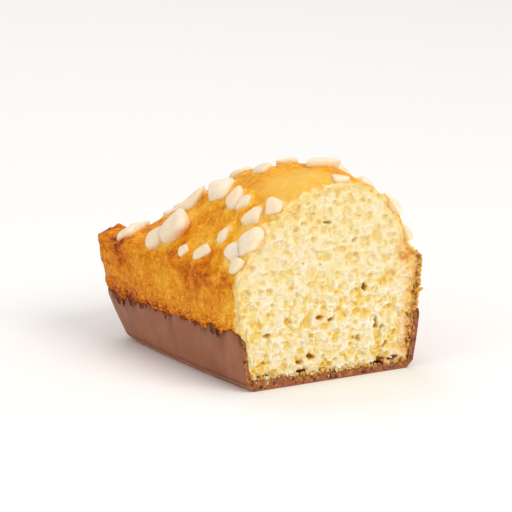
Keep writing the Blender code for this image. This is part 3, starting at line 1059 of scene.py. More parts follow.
@dataclass(frozen=True)
class CutCrumb(Piece):
    """The open crumb of the cut: a slab whose front is pitted by bubbles of several sizes.

    The depths of lumps, creases and tears are in millimetres.
    """

    name: ClassVar[str] = "sponge_crumb"
    slot: ClassVar[Slot] = Slot.CRUMB
    outline: CutOutline
    floor: float = 1.5 * MM
    columns: int = 300
    rows: int = 264
    back: float = 3.0 * MM
    deepest: float = 2.4 * MM
    layers: tuple[PoreLayer, ...] = (
        PoreLayer(3.2 * MM, 0.22, 0.13, 0.3, 0.8, 31),
        PoreLayer(2.0 * MM, 0.55, 0.22, 0.45, 0.5, 32),
        PoreLayer(1.3 * MM, 0.8, 0.3, 0.6, 0.32, 33),
    )
    holes: tuple[Hole, ...] = (
        Hole(7.8, 16.3, 0.55, 1.15, 2.2, 0.15),
        Hole(0.3, 11.2, 0.9, 0.5, 2.2, 0.5),
        Hole(-2.1, 11.8, 0.8, 0.55, 1.5),
        Hole(10.3, 9.3, 0.5, 1.1, 1.8, 0.1),
        Hole(11.3, 8.2, 0.45, 0.7, 1.5),
        Hole(-13.5, 9.9, 0.95, 0.65, 1.6, 0.2),
        Hole(6.2, 6.9, 0.7, 0.9, 1.5, 0.4),
        Hole(12.3, 5.2, 0.85, 0.5, 1.7, 0.6),
        Hole(-3.8, 4.9, 1.1, 0.6, 1.6, -0.2),
        Hole(-14.0, 5.1, 0.6, 0.5, 1.4),
        Hole(-6.5, 3.9, 0.6, 0.5, 1.5),
        Hole(-5.7, 22.5, 0.3, 0.25, 1.2),
        Hole(-1.8, 22.0, 0.25, 0.25, 1.1),
        Hole(5.5, 25.5, 0.5, 0.7, 1.2, 0.3),
        Hole(-0.4, 29.6, 0.7, 0.4, 1.2, -0.3),
    )
    caves: tuple[tuple[float, float, float, float], ...] = (
        (2.4 * MM, 0.2, 0.65 * MM, 0.61),
        (1.4 * MM, 0.1, 0.45 * MM, 0.67),
    )
    creases: tuple[float, ...] = (1.7 * MM, 2.9 * MM, 4.3 * MM)
    lump_depth: float = 0.62
    crease_depth: float = 0.3
    tear_depth: float = 0.8
    bend: float = 0.42 * MM
    net_shift: float = 0.2
    back_scale: float = 0.9
    rough: Lattice = Lattice(41)

    def net(self) -> tuple[Array, Array]:
        """x and z of the slab's front, (rows, columns), between the inner lines of the two sides.

        Returns:
            Rows at heights that crowd towards the crest. The lowest ones and all ends are ragged.
        """
        top = min(self.outline.inner(side)[:, 2].max() for side in (-1, 1)) - 0.02 * MM
        share = np.linspace(0.0, 1.0, self.rows)
        share = share + 0.5 * share**8 * (1.0 - share)
        heights = self.floor + (top - self.floor) * share
        low_x, high_x = (self.outline.inner_x(side, heights) for side in (-1, 1))
        below_top = ease(heights, top, top - 8.0 * MM)
        tear = self.rough.fractal(flat_points(np.full_like(heights, 0.5), heights), 1.3 * MM, 3, 0.7)
        high_x = high_x + 0.22 * MM * tear * below_top
        tear = self.rough.fractal(flat_points(np.full_like(heights, 0.7), heights), 2.0 * MM, 3)
        low_x = low_x + 0.08 * MM * tear * below_top
        across = np.linspace(0.0, 1.0, self.columns)
        x = low_x[:, None] + (high_x - low_x)[:, None] * across
        z = np.broadcast_to(heights[:, None], x.shape)
        sag = 0.45 * MM * self.rough.fractal(flat_points(x, np.full_like(x, 0.9)), 2.2 * MM, 4, 0.65)
        return x, z + sag * decay(z - self.floor, 1.2 * MM)

    def pits(self, x: Array, z: Array, rim: Array) -> Array:
        """Depth of the bubbles, holes and caves under points of the cut, shallower near the outline.

        Args:
            x: along the cut.
            z: up the cut.
            rim: distance to the outline.

        Returns:
            Depths in metres.
        """
        at = flat_points(x, z)
        bend_x = self.bend * self.rough.fractal(at + 0.11, 1.1 * MM, 3)
        bend_z = self.bend * self.rough.fractal(at + 0.23, 1.1 * MM, 3)
        depth = np.zeros_like(x)
        for layer in self.layers:
            bubbles = layer.depth_at(x + bend_x + self.net_shift, z + bend_z + self.net_shift)
            depth = np.maximum(depth, bubbles)
        depth = depth * (0.35 + 0.55 * ease(z, 28.0 * MM, 9.0 * MM))
        for hole in self.holes:
            depth = np.maximum(depth, hole.depth_at(x + 1.3 * bend_x, z + 1.3 * bend_z))
        for wavelength, threshold, deepest, shift in self.caves:
            cave = ease(self.rough.fractal(at + shift, wavelength, 2), threshold, threshold + 0.55)
            depth = np.maximum(depth, deepest * cave)
        return depth * (0.45 + 0.55 * ease(rim, 0.2 * MM, 1.6 * MM))

    def tears(self, x: Array, z: Array) -> Array:
        """Gaps along the foot and up the right side where the crumb comes away, painted with shade and
        browner crumb.

        Args:
            x: along the cut, (rows, columns).
            z: up the cut, of the same shape.

        Returns:
            Shares from 0 to 1.
        """
        at = flat_points(x, z)
        foot = bell(z - self.floor - 0.5 * MM, 0.8 * MM)
        edge = self.outline.inner_x(1, z[:, -1])[:, None]
        side = bell(x - edge + 0.5 * MM, 0.7 * MM) * ease(z, 27.0 * MM, 12.0 * MM)
        patches = ease(self.rough.fractal(at * np.array([0.6, 1.0, 1.0]) + 0.51, 1.5 * MM, 3), 0.12, 0.5)
        return np.maximum(foot, 0.9 * side) * patches

    def surface(self) -> Surface:
        """The pitted front, closed by a border and a fan behind.

        The front lies behind y = 0 by soft lumps, the bubbles, the tears, creases that follow the dome on the
        upper left, and a rounding towards the outline.

        Returns:
            The closed surface. Its attributes are the depths of pits and lumps, the nearness of the outline,
            the browned right side, the tears, and soft, which grows upwards.
        """
        x, z = self.net()
        at = flat_points(x, z)
        rim = self.outline.distance(x, z)
        tears = self.tears(x, z)
        pits = self.pits(x, z, rim)
        arc = rim + 0.5 * MM * self.rough.fractal(at + 0.31, 4.0 * MM, 3)
        upper_left = ease(x, 5.0 * MM, -4.0 * MM) * ease(z, 21.0 * MM, 26.0 * MM)
        crease = sum(bell(arc - reach, 0.22 * MM) for reach in self.creases) * upper_left
        crease = crease * (0.5 + 0.5 * self.rough.value(at / (2.5 * MM)))
        walls = np.abs(self.rough.fractal(at + 0.7, 1.5 * MM, 3, 0.5))
        lumps = 0.25 + 0.4 * self.rough.fractal(at, 2.6 * MM, 4, 0.5) + 0.5 * ease(walls, 0.0, 0.45)
        calm = (0.4 + 0.6 * ease(rim, 0.0, 1.2 * MM)) * (0.7 + 0.3 * ease(z, 28.0 * MM, 14.0 * MM))
        depth = (self.lump_depth * lumps + self.crease_depth * crease) * MM * calm
        depth = depth + pits + self.tear_depth * MM * tears
        y = np.clip(depth + fillet(rim, 0.7 * MM), 0.02 * MM, self.deepest)
        points = np.stack([x, y, z], axis=-1).reshape(-1, 3)
        numbers = numbered(x)
        border = np.concatenate([numbers[0, :-1], numbers[:-1, -1], numbers[-1, :0:-1], numbers[:0:-1, 0]])
        middle = np.array([[0.0, self.back, CUT_MIDDLE]])
        behind = middle + (points[border] - middle) * np.array([self.back_scale, 0.0, self.back_scale])
        back = np.arange(len(border)) + x.size
        skirt = np.stack([border, back, np.roll(back, -1), np.roll(border, -1)], axis=-1)
        side = ease(x, 4.0 * MM, 13.0 * MM) * ease(z, 27.0 * MM, 21.0 * MM)
        values = {
            "pit": (pits + self.crease_depth * MM * crease) / MM,
            "lump": lumps,
            "rim": decay(rim - 0.16 * MM, (1.1 + 1.5 * side) * MM),
            "side": side,
            "tear": tears,
            "soft": ease(z, 8.0 * MM, 27.0 * MM),
        }
        front_of = np.concatenate([numbers.ravel(), border, border[:1]])
        return Surface(
            np.concatenate([points, behind, middle]),
            np.concatenate([net_quads(numbers), skirt]),
            fan(back[::-1], back[-1] + 1),
            {name: value.ravel()[front_of] for name, value in values.items()},
        )


@dataclass(frozen=True)
class SugarNibs(Piece):
    """The pearl sugar: blocks with cut corners and edges melted round, half sunk in the top."""

    name: ClassVar[str] = "pearl_sugar"
    slot: ClassVar[Slot] = Slot.SUGAR
    plan: SugarPlan
    dome: Dome
    corners: int = 7
    lift: float = 0.1
    swell: float = 1.24
    melt: float = 5.5
    around: int = 40
    down: int = 24
    pitting: float = 0.045
    first_seed: int = 100
    small: float = 3.6 * MM
    rough: Lattice = Lattice(61)

    def nib(self, index: int, nib: Nib) -> Surface:
        """One nib: along each direction, the smooth least of its facets' distances, stretched and turned.

        The smooth least is a power mean of distance / cosine with a negative power, which rounds the edges.

        Args:
            index: seeds the shape.
            nib: its place and size.

        Returns:
            The closed surface, with its height over the crust and its tint as attributes.
        """
        draw = np.random.default_rng(self.first_seed + index)
        block = np.vstack([np.eye(3), -np.eye(3)]) + draw.normal(scale=0.2, size=(6, 3))
        normals = unit(np.vstack([block, draw.normal(size=(self.corners, 3))]))
        distances = np.append(draw.uniform(0.85, 1.0, 6), draw.uniform(0.95, 1.12, self.corners))
        stretch = draw.uniform((1.0, 0.78, 0.42), (1.15, 0.98, 0.56)) * nib.size / 2.0
        turn = draw.uniform(0.0, math.tau)
        angle = np.linspace(0.0, math.pi, self.down + 1)[1:-1, None]
        directions, quads, caps = ball(angle, np.linspace(0.0, math.tau, self.around, endpoint=False)[None])
        closeness = np.maximum(directions @ normals.T, 0.01) / distances
        radius = (closeness**self.melt).sum(axis=1) ** (-1.0 / self.melt)
        pits = self.rough.fractal(directions * MM + 0.01 * index, 0.8 * MM, 4, 0.6)
        radius = radius * (1.0 + self.pitting * pits)
        shape = directions * (radius * self.swell)[:, None] * stretch
        origin, axes = self.dome.frame_at(nib.x, nib.y)
        first = axes[0] * math.cos(turn) + axes[1] * math.sin(turn)
        turned = np.array([first, np.cross(axes[2], first), axes[2]])
        points = origin + axes[2] * self.lift * nib.size + shape @ turned
        points[:, 1] = np.maximum(points[:, 1], self.plan.slice)
        height = points[:, 2] - self.dome.top(points[:, 0], points[:, 1])
        tint = draw.uniform() + 0.5 * (nib.size < self.small)
        values = {"height": height / MM, "tint": np.full(len(points), tint)}
        return Surface(points, quads, caps, values).turned_outwards()

    def surface(self) -> Surface:
        """All the nibs as one surface."""
        return reduce(Surface.joined, [self.nib(index, nib) for index, nib in enumerate(self.plan.nibs)])


@dataclass(frozen=True)
class ChocolateCoat(Piece):
    """The chocolate tray: a poured skin with a ragged lip, a chamfered foot and a rough section."""

    name: ClassVar[str] = "chocolate_coat"
    slot: ClassVar[Slot] = Slot.CHOCOLATE
    node: ClassVar[Node] = Node.CHOCOLATE
    mould: Mould
    coat: CoatLine
    proud: float = 0.15 * MM
    thickness: float = 1.1 * MM
    floor: float = 1.4 * MM
    foot_inset: float = 1.0 * MM
    foot_step: float = 1.3 * MM
    inner_step: float = 0.4 * MM
    spacing: float = 0.3 * MM
    wall_rows: int = 10
    base_rows: int = 40
    base_shares: tuple[float, float] = (0.985, 0.002)
    section_rows: int = 7
    lip_fall: float = 0.5 * MM
    ripple: float = 0.05 * MM
    section_relief: float = 0.35 * MM
    rough: Lattice = Lattice(51)

    def side(self, inset: float, foot: float, chamfer: float, lip_inset: float) -> Array:
        """Rows of one face of the tray, from the lip down the wall, round the foot and in to the middle.

        Under the foot, rows shrink towards the middle of the cut, as x * share and y * share.

        Args:
            inset: of the wall from the mould.
            foot: height of the flat part.
            chamfer: how much further in the foot's row is.
            lip_inset: how much further in the lip's row is.

        Returns:
            Points, (rows, columns, 3).
        """
        top = self.coat.around
        low = foot + (self.foot_step if foot == 0.0 else self.inner_step)
        rows = []
        for share in np.linspace(1.0, 0.0, self.wall_rows):
            z = low + (top - low) * share
            rows.append(self.mould.wall(z, inset + lip_inset * ease(share, 0.88, 1.0)))
        edge = self.mould.wall(foot, inset + chamfer)
        edge[..., 2] = foot
        rows.append(self.mould.wall(foot + 0.3 * (low - foot), inset + 0.8 * chamfer))
        rows.append(edge)
        for share in np.linspace(*self.base_shares, self.base_rows):
            rows.append(edge * np.array([share, share, 1.0]))
        return np.array(rows)

    def outer(self) -> tuple[Array, dict[str, Array]]:
        """The outer face with its ripples and torn lip, and its attributes.

        Returns:
            Points (rows, columns, 3), and from 0 to 1: lip and foot, near them; gap, where the lip is torn;
            step, at the top of the foot's chamfer; section, which is 0 here; and streak, in the runs.
        """
        face = smooth_rows(self.side(-self.proud, 0.0, self.foot_inset, 0.3 * MM), self.spacing)
        z = face[..., 2]
        under = ease(z, 0.4 * MM, 0.0)
        drop = self.coat.around - z
        around = np.cumsum(np.linalg.norm(np.diff(face[0], axis=0, prepend=face[0, :1]), axis=-1))
        streak_at = np.stack([np.broadcast_to(around, z.shape), 0.12 * z, 0.0 * z], axis=-1)
        streaks = self.rough.fractal(streak_at, 2.4 * MM, 3)
        waviness = self.rough.fractal(face, 6.0 * MM, 3)
        lip = decay(drop, 1.6 * MM) * (1.0 - under)
        relief = self.ripple * (1.0 - under) * (streaks * (0.35 + lip) + 0.9 * waviness)
        normals = grid_normals(face)
        sign = np.sign((normals[3, :, 0] * face[3, :, 0]).sum())
        face = face + sign * normals * np.minimum(relief, 0.1 * MM)[..., None]
        torn = self.rough.fractal(streak_at + 0.3, 1.3 * MM, 4, 0.65)
        spot = self.rough.fractal(face + 0.6, 9.0 * MM, 2)
        gap = ease(torn + 0.35 * spot, 0.18, 0.6)
        fall = self.lip_fall * (0.5 + torn) + 1.3 * MM * gap
        face[..., 2] -= fall * decay(drop, 0.9 * MM) * (1.0 - under)
        face[..., 2] = np.maximum(face[..., 2], 0.0)
        face[..., [0, -1], 1] = 0.0
        values = {
            "lip": lip,
            "gap": gap * decay(drop, 1.0 * MM) * (1.0 - under),
            "foot": ease(z, self.foot_step + 0.1 * MM, self.foot_step - 0.4 * MM),
            "step": bell(z - self.foot_step - 0.15 * MM, 0.4 * MM),
            "section": np.zeros_like(z),
            "streak": 0.5 + 0.5 * streaks,
        }
        return face, values

    def surface(self) -> Surface:
        """Outer and inner faces joined at the lip and across the cut, where the section is rough.

        The inner face has the outer face's rows and columns, at the wall's thickness behind it. Near the cut
        it wavers, so that the section differs in thickness.

        Returns:
            The closed surface, with the outer face's attributes. All else counts as section.
        """
        outer, values = self.outer()
        inner = self.side(self.thickness - self.proud, self.floor, self.foot_inset, -0.5 * MM)
        steps = np.linalg.norm(np.diff(inner, axis=0), axis=-1).mean(axis=1)
        inner = smooth_rows(inner, steps.sum() / (len(outer) - 1))[: len(outer)]
        inner[0, :, 2] = np.minimum(inner[0, :, 2], outer[0, :, 2])
        waver = self.rough.fractal(inner * np.array([1.0, 0.0, 1.0]) + 0.5, 3.0 * MM, 4, 0.65)
        near_cut = bell(inner[..., 1], 3.0 * MM)
        flat = ease(inner[..., 2], self.floor + 0.5 * MM, self.floor)
        inner[..., 2] += flat * near_cut * (0.35 * MM * waver - 0.02 * inner[..., 0])
        inner[..., 0] -= np.sign(inner[..., 0]) * (1.0 - flat) * near_cut * 0.2 * MM * waver
        numbers = numbered(outer)
        count = numbers.size
        lip, last = numbers[0], numbers[-1]
        across = np.linspace(0.0, 1.0, self.section_rows)[None, 1:-1, None]
        points = [outer.reshape(-1, 3), inner.reshape(-1, 3)]
        quads = [net_quads(numbers), net_quads(numbers)[:, ::-1] + count]
        fans = []
        for column, second in ((0, 1), (-1, -2)):
            line_out, line_in = outer[:, column], inner[:, column]
            strip = line_out[:, None] + (line_in - line_out)[:, None] * across
            bulk = self.rough.fractal(strip * np.array([1.0, 0.0, 1.0]) + 0.8, 0.9 * MM, 4, 0.7)
            strip[..., 1] = self.section_relief * np.clip(0.5 + 0.7 * bulk, 0.0, 1.3)
            section = numbered(strip, sum(len(part) for part in points))
            whole = np.concatenate([numbers[:, [column]], section, numbers[:, [column]] + count], axis=1)
            quads.append(net_quads(whole)[:, ::-1] if column == 0 else net_quads(whole))
            points.append(strip.reshape(-1, 3))
            for row in (0, -1):
                beside = numbers[row, second]
                if row == column:
                    fans.append(corner_fan(whole[row], beside, beside + count))
                else:
                    fans.append(corner_fan(whole[row][::-1], beside + count, beside))
        quads.append(np.stack([lip[2:-1], lip[1:-2], lip[1:-2] + count, lip[2:-1] + count], axis=-1))
        quads.append(np.stack([last[1:-2], last[2:-1], last[2:-1] + count, last[1:-2] + count], axis=-1))
        whole_points = np.concatenate(points)
        rest = len(whole_points) - count
        filled = {
            name: np.concatenate([value.ravel(), np.full(rest, float(name == "section"))])
            for name, value in values.items()
        }
        return Surface(whole_points, np.concatenate(quads), np.concatenate(fans), filled)


@dataclass(frozen=True)
class LooseCrumbs(Piece):
    """Small crumbs that cling along the foot and the right side of the cut.

    The two ranges and foot_level are in millimetres.
    """

    name: ClassVar[str] = "crumb_flecks"
    slot: ClassVar[Slot] = Slot.CRUMB
    outline: CutOutline
    count: int = 460
    smallest: float = 0.14 * MM
    largest: float = 0.45 * MM
    foot_share: float = 0.52
    foot_range: tuple[float, float] = (-16.5, 16.5)
    side_range: tuple[float, float] = (2.0, 22.5)
    foot_level: float = 1.55
    foot_slope: float = 0.02
    lowest: float = 0.45 * MM
    ring_angles: tuple[float, ...] = (0.22, 0.5, 0.78)
    ring_turns: tuple[float, ...] = (0.0, 0.4, 0.8)
    ring_points: int = 8
    seed: int = 71
    rough: Lattice = Lattice(72)

    def lump(self) -> tuple[Array, Array]:
        """Directions and triangles of a ball of three rings and two poles, each ring turned from the last."""
        turn = np.linspace(0.0, math.tau, self.ring_points, endpoint=False)[None]
        turn = turn + np.array(self.ring_turns)[:, None]
        directions, quads, caps = ball(np.array(self.ring_angles)[:, None] * math.pi, turn)
        return directions, np.concatenate([quads[:, [0, 1, 2]], quads[:, [0, 2, 3]], caps])

    def places(self, draw: np.random.Generator) -> tuple[Array, Array]:
        """Middles of the crumbs and how golden each is.

        Args:
            draw: where the random shares come from.

        Returns:
            Points (count, 3), and values from 0, pale crumb, to 1 and over, golden crust.
        """
        kind = draw.uniform(size=self.count)
        spread = draw.normal(scale=0.3 * MM, size=self.count)
        foot_x = draw.uniform(*self.foot_range, self.count) * MM
        foot_z = (self.foot_level - self.foot_slope * foot_x / MM) * MM + spread
        side_z = draw.uniform(*self.side_range, self.count) * MM
        side_x = self.outline.inner_x(1, side_z) + 0.8 * spread - 0.3 * MM
        on_foot = kind < self.foot_share
        x, z = np.where(on_foot, foot_x, side_x), np.where(on_foot, foot_z, side_z)
        y = draw.uniform(0.2, 0.7, self.count) * MM
        gold = draw.uniform(size=self.count) + np.where(on_foot, 0.0, 0.35)
        return np.stack([x, y, np.maximum(z, self.lowest)], axis=-1), gold

    def surface(self) -> Surface:
        """All crumbs at once: middle + direction * radius, each radius roughened and stretched.

        Returns:
            The closed lumps, with their goldness as an attribute.
        """
        draw = np.random.default_rng(self.seed)
        middles, gold = self.places(draw)
        directions, faces = self.lump()
        radius = self.smallest + (self.largest - self.smallest) * draw.uniform(size=self.count) ** 2.5
        stretch = draw.uniform(0.55, 1.25, (self.count, 1, 3))
        offsets = directions[None] * stretch * radius[:, None, None]
        knobs = 1.0 + 0.7 * self.rough.fractal(middles[:, None] * 31.0 + offsets, 0.22 * MM, 2)
        points = middles[:, None] + offsets * knobs[..., None]
        points[..., 1:] = np.maximum(points[..., 1:], 0.01 * MM)
        shift = np.arange(self.count)[:, None, None] * len(directions)
        triangles = (faces[None] + shift).reshape(-1, 3)
        values = {"gold": np.repeat(gold, len(directions))}
        return Surface(points.reshape(-1, 3), np.zeros((0, 4), int), triangles, values)


Socket = bpy.types.NodeSocket
Value = float | Colour | Socket


class Graph:
    """A material's nodes: its methods add nodes and return an output, so that calls nest like sums."""

    def __init__(self, name: str) -> None:
        """Makes the material with an empty Principled shader."""
        self.material = bpy.data.materials.new(name)
        self.material.use_nodes = True
        self.shader = self.material.node_tree.nodes["Principled BSDF"]

    def node(
        self, kind: str, inputs: dict[str | int, Value], **settings: str | float | bool
    ) -> bpy.types.Node:
        """Adds a node.

        Args:
            kind: Blender's name of the node type.
            inputs: a socket to link or a value to set, by input name or number.
            settings: the node's own properties.

        Returns:
            The node.
        """
        node = self.material.node_tree.nodes.new(kind)
        for key, value in settings.items():
            setattr(node, key, value)
        for key, value in inputs.items():
            self.feed(node.inputs[key], value)
        return node

    def feed(self, socket: Socket, value: Value) -> None:
        """Links a socket or sets its value; a colour gets its alpha."""
        if isinstance(value, bpy.types.NodeSocket):
            self.material.node_tree.links.new(value, socket)
        elif isinstance(value, tuple) and len(socket.default_value) == 4:
            socket.default_value = (*value, 1.0)
        else:
            socket.default_value = value

    def attribute(self, name: str) -> Socket:
        """A value of the mesh."""
        return self.node("ShaderNodeAttribute", {}, attribute_name=name).outputs["Fac"]

    def noise(self, size: float, detail: float = 3.0, rough: float = 0.55, squash: float = 1.0) -> Socket:
        """Cloudy noise from 0 to 1.

        Args:
            size: of its largest patches, in metres.
            detail: octaves.
            rough: height of each octave in that of the one before.
            squash: how many times wider than tall its patches are.

        Returns:
            The noise.
        """
        place = self.node("ShaderNodeTexCoord", {}).outputs["Object"]
        at = self.node("ShaderNodeMapping", {"Vector": place, "Scale": (1.0, 1.0, squash)}).outputs[0]
        inputs = {"Vector": at, "Scale": 1.0 / size, "Detail": detail, "Roughness": rough}
        return self.node("ShaderNodeTexNoise", inputs).outputs[0]

    def product(self, a: Value, b: Value) -> Socket:
        """The product of two values, held between 0 and 1."""
        return self.node("ShaderNodeMath", {0: a, 1: b}, operation="MULTIPLY", use_clamp=True).outputs[0]

    def total(self, start: float, *terms: tuple[Value, float]) -> Socket:
        """A start plus the sum of values times their weights, not held to any range."""
        result: Value = start
        for value, weight in terms:
            inputs: dict[str | int, Value] = {0: value, 1: weight, 2: result}
            result = self.node("ShaderNodeMath", inputs, operation="MULTIPLY_ADD").outputs[0]
        return result

    def ramp(self, value: Value, stops: Stops) -> Socket:
        """The colour at a value among stops.

        Args:
            value: from 0 to 1.
            stops: places from 0 to 1 with their colours.

        Returns:
            The colour.
        """
        node = self.node("ShaderNodeValToRGB", {"Fac": value})
        elements = node.color_ramp.elements
        elements.remove(elements[1])
        elements[0].position = stops[0][0]
        elements[0].color = (*stops[0][1], 1.0)
        for place, colour in stops[1:]:
            elements.new(place).color = (*colour, 1.0)
        return node.outputs[0]

    def level(self, value: Value, low: float, high: float, least: float = 0.0, most: float = 1.0) -> Socket:
        """Eases a value from least at low to most at high."""
        inputs = {"Value": value, "From Min": low, "From Max": high, "To Min": least, "To Max": most}
        return self.node("ShaderNodeMapRange", inputs, interpolation_type="SMOOTHSTEP").outputs[0]

    def blend(self, share: Value, a: Value, b: Value) -> Socket:
        """Blends two colours by a share."""
        inputs = {"Factor": share, 6: a, 7: b}
        return self.node("ShaderNodeMix", inputs, data_type="RGBA").outputs[2]

    def tint(
        self, tone: Value, colour: Value, by: Value, low: float, high: float, most: float = 1.0
    ) -> Socket:
        """Blends a colour over a tone: not at all where a value is low, by most where it is high."""
        return self.blend(self.level(by, low, high, 0.0, most), tone, colour)

    def bump(self, height: Socket, depth: float) -> Socket:
        """Bends the normal by a height from 0 to 1 that stands for a depth in metres."""
        return self.node("ShaderNodeBump", {"Height": height, "Distance": depth}).outputs[0]

    def finish(self, **sockets: Value) -> bpy.types.Material:
        """Feeds the shader's inputs, named with _ for a space, and returns the material."""
        for name, value in sockets.items():
            self.feed(self.shader.inputs[name.replace("_", " ")], value)
        return self.material


def srgb(red: int, green: int, blue: int) -> Colour:
    """A colour as it shows on a screen, from 0 to 255, as linear light."""
    shares = (red / 255.0, green / 255.0, blue / 255.0)
    return tuple(s / 12.92 if s <= 0.04045 else ((s + 0.055) / 1.055) ** 2.4 for s in shares)


@dataclass(frozen=True)
class CrustFinish:
    """Baked crust: golden grains, amber creases, browner at the rim and far end, pale at crest and cut."""

    browning: Stops = (
        (0.0, srgb(112, 40, 0)),
        (0.2, srgb(164, 70, 0)),
        (0.4, srgb(207, 112, 6)),
        (0.6, srgb(230, 147, 16)),
        (0.8, srgb(242, 174, 44)),
        (1.0, srgb(248, 206, 108)),
    )
    crumb: Stops = (
        (0.1, srgb(234, 172, 66)),
        (0.5, srgb(247, 212, 134)),
        (0.9, srgb(249, 231, 190)),
    )
    pale: Colour = srgb(236, 192, 96)
    golden: Colour = srgb(236, 180, 62)

    def material(self) -> bpy.types.Material:
        """The material: colour by a value that adds up the zones, the grains, three sizes of mottling and
        painted glints.

        Returns:
            A matt crust whose edge at the cut takes on the lacy look of the crumb, with painted shade in its
            pores.
        """
        g = Graph("baked_crust")
        patches = g.noise(6.0 * MM, 4.0, 0.6)
        mottle = g.noise(2.0 * MM, 4.0, 0.65, 1.7)
        speck_and_glint = g.noise(0.6 * MM, 1.0, 0.5, 1.7)
        grain = g.attribute("grain")
        cut = g.attribute("cut")
        value = g.total(
            -0.2,
            (grain, 0.16),
            (mottle, 0.66),
            (patches, 0.58),
            (speck_and_glint, 0.2),
            # Painted highlight: the brightest fine specks are glints of sugar and glaze put into the colour.
            (g.level(speck_and_glint, 0.6, 0.72), 0.2),
            (g.product(g.attribute("rim"), g.level(patches, 0.58, 0.4, 0.15, 1.0)), -0.3),
            (g.attribute("light"), 0.16),
            (g.product(g.attribute("coat"), g.level(speck_and_glint, 0.35, 0.6, 1.0, 0.4)), -0.5),
            (g.attribute("end"), -0.2),
            (g.attribute("top"), 0.04),
            (g.attribute("nib"), 0.22),
        )
        faded = g.tint(self.pale, self.golden, mottle, 0.35, 0.65)
        tone = g.blend(g.product(g.attribute("pale"), 0.85), g.ramp(value, self.browning), faded)
        # Painted shade: the lacy edge is darker in its pores, which are also sunk in the relief.
        lacy = g.total(-0.4, (mottle, 1.2), (speck_and_glint, 0.4), (cut, 0.25), (g.attribute("pore"), -0.3))
        tone = g.tint(tone, self.golden, cut, 0.0, 0.6, 0.8)
        tone = g.tint(tone, g.ramp(lacy, self.crumb), cut, 0.3, 0.9)
        return g.finish(
            Base_Color=tone,
            Roughness=g.level(grain, 0.2, 0.9, 0.7, 0.55),
            Normal=g.bump(g.total(0.0, (speck_and_glint, 0.6), (mottle, 0.4)), 0.16 * MM),
            Specular_IOR_Level=0.12,
            Subsurface_Weight=0.15,
            Subsurface_Radius=(1.0, 0.8, 0.35),
            Subsurface_Scale=0.6 * MM,
        )


@dataclass(frozen=True)
class CrumbFinish:
    """Open crumb: cream lumps, yellow between, golden in bubbles, all painted light and shade; orange browned
    edge.
    """

    # Painted light and shade by depth: golden shade in the deepest hollows up to cream highlight on the
    # highest lumps.
    depths: Stops = (
        (0.0, srgb(196, 134, 26)),
        (0.2, srgb(224, 172, 38)),
        (0.45, srgb(236, 203, 102)),
        (0.7, srgb(238, 220, 172)),
        (1.0, srgb(240, 233, 216)),
    )
    even: Colour = srgb(235, 217, 168)
    rind: Colour = srgb(216, 138, 44)
    edge: Colour = srgb(247, 208, 122)
    # Painted shade in the torn gaps, over the browner crumb there.
    tear: Colour = srgb(140, 78, 24)

    def material(self) -> bpy.types.Material:
        """The material: colour by a mottling and by depth in the crumb, which paints light and shade, browned
        towards the outline.

        Returns:
            A matt crumb that lets light through.
        """
        g = Graph("open_crumb")
        mottle = g.noise(1.5 * MM, 3.0, 0.55)
        pit, rim, side = g.attribute("pit"), g.attribute("rim"), g.attribute("side")
        # Painted shade: deeper pits and lumps darken the colour; the two noises are the crumb's own mottling.
        value = g.total(
            0.41,
            (pit, -0.44),
            (g.level(pit, 0.6, 1.6), -0.2),
            (g.attribute("lump"), -0.45),
            (mottle, 1.05),
            (g.noise(6.0 * MM, 2.0), 0.2),
        )
        even = g.level(g.attribute("soft"), 0.0, 1.0, 0.05, 0.55)
        tone = g.blend(even, g.ramp(value, self.depths), self.even)
        near = g.product(g.level(rim, 0.08, 0.75), g.level(side, 0.0, 1.0, 0.8, 0.7))
        tone = g.blend(near, tone, self.edge)
        brown = g.product(g.level(rim, 0.1, 0.7), side)
        tone = g.blend(g.product(brown, g.level(mottle, 0.4, 0.6, 0.3, 1.0)), tone, self.rind)
        # The tears take painted shade, over the browner crumb there.
        return g.finish(
            Base_Color=g.tint(tone, self.tear, g.attribute("tear"), 0.35, 0.8),
            Roughness=0.95,
            Normal=g.bump(g.noise(0.5 * MM, 2.0), 0.04 * MM),
            Specular_IOR_Level=0.05,
            Subsurface_Weight=0.6,
            Subsurface_Radius=(1.0, 0.95, 0.4),
            Subsurface_Scale=1.2 * MM,
        )


@dataclass(frozen=True)
class SugarFinish:
    """Pearl sugar: cream-white and a little see-through, peach-coloured where it sinks into the crust."""

    white: Colour = srgb(246, 236, 216)
    cream: Colour = srgb(244, 217, 180)
    peach: Colour = srgb(242, 190, 118)

    def material(self) -> bpy.types.Material:
        """The material: colour by each nib's tint and its height over the crust, softly mottled.

        Returns:
            A satin sugar that lets light through.
        """
        g = Graph("pearl_sugar")
        cloud = g.noise(1.8 * MM, 3.0)
        tone = g.tint(self.white, self.cream, cloud, 0.4, 0.65, 0.8)
        tone = g.tint(tone, self.cream, g.attribute("tint"), 0.4, 1.0, 0.8)
        return g.finish(
            Base_Color=g.tint(tone, self.peach, g.attribute("height"), 0.75, -0.1, 0.9),
            Roughness=g.level(cloud, 0.3, 0.7, 0.55, 0.4),
            Normal=g.bump(g.noise(0.7 * MM, 2.0), 0.12 * MM),
            Specular_IOR_Level=0.25,
            Subsurface_Weight=0.5,
            Subsurface_Radius=(1.0, 0.95, 0.75),
            Subsurface_Scale=1.5 * MM,
        )


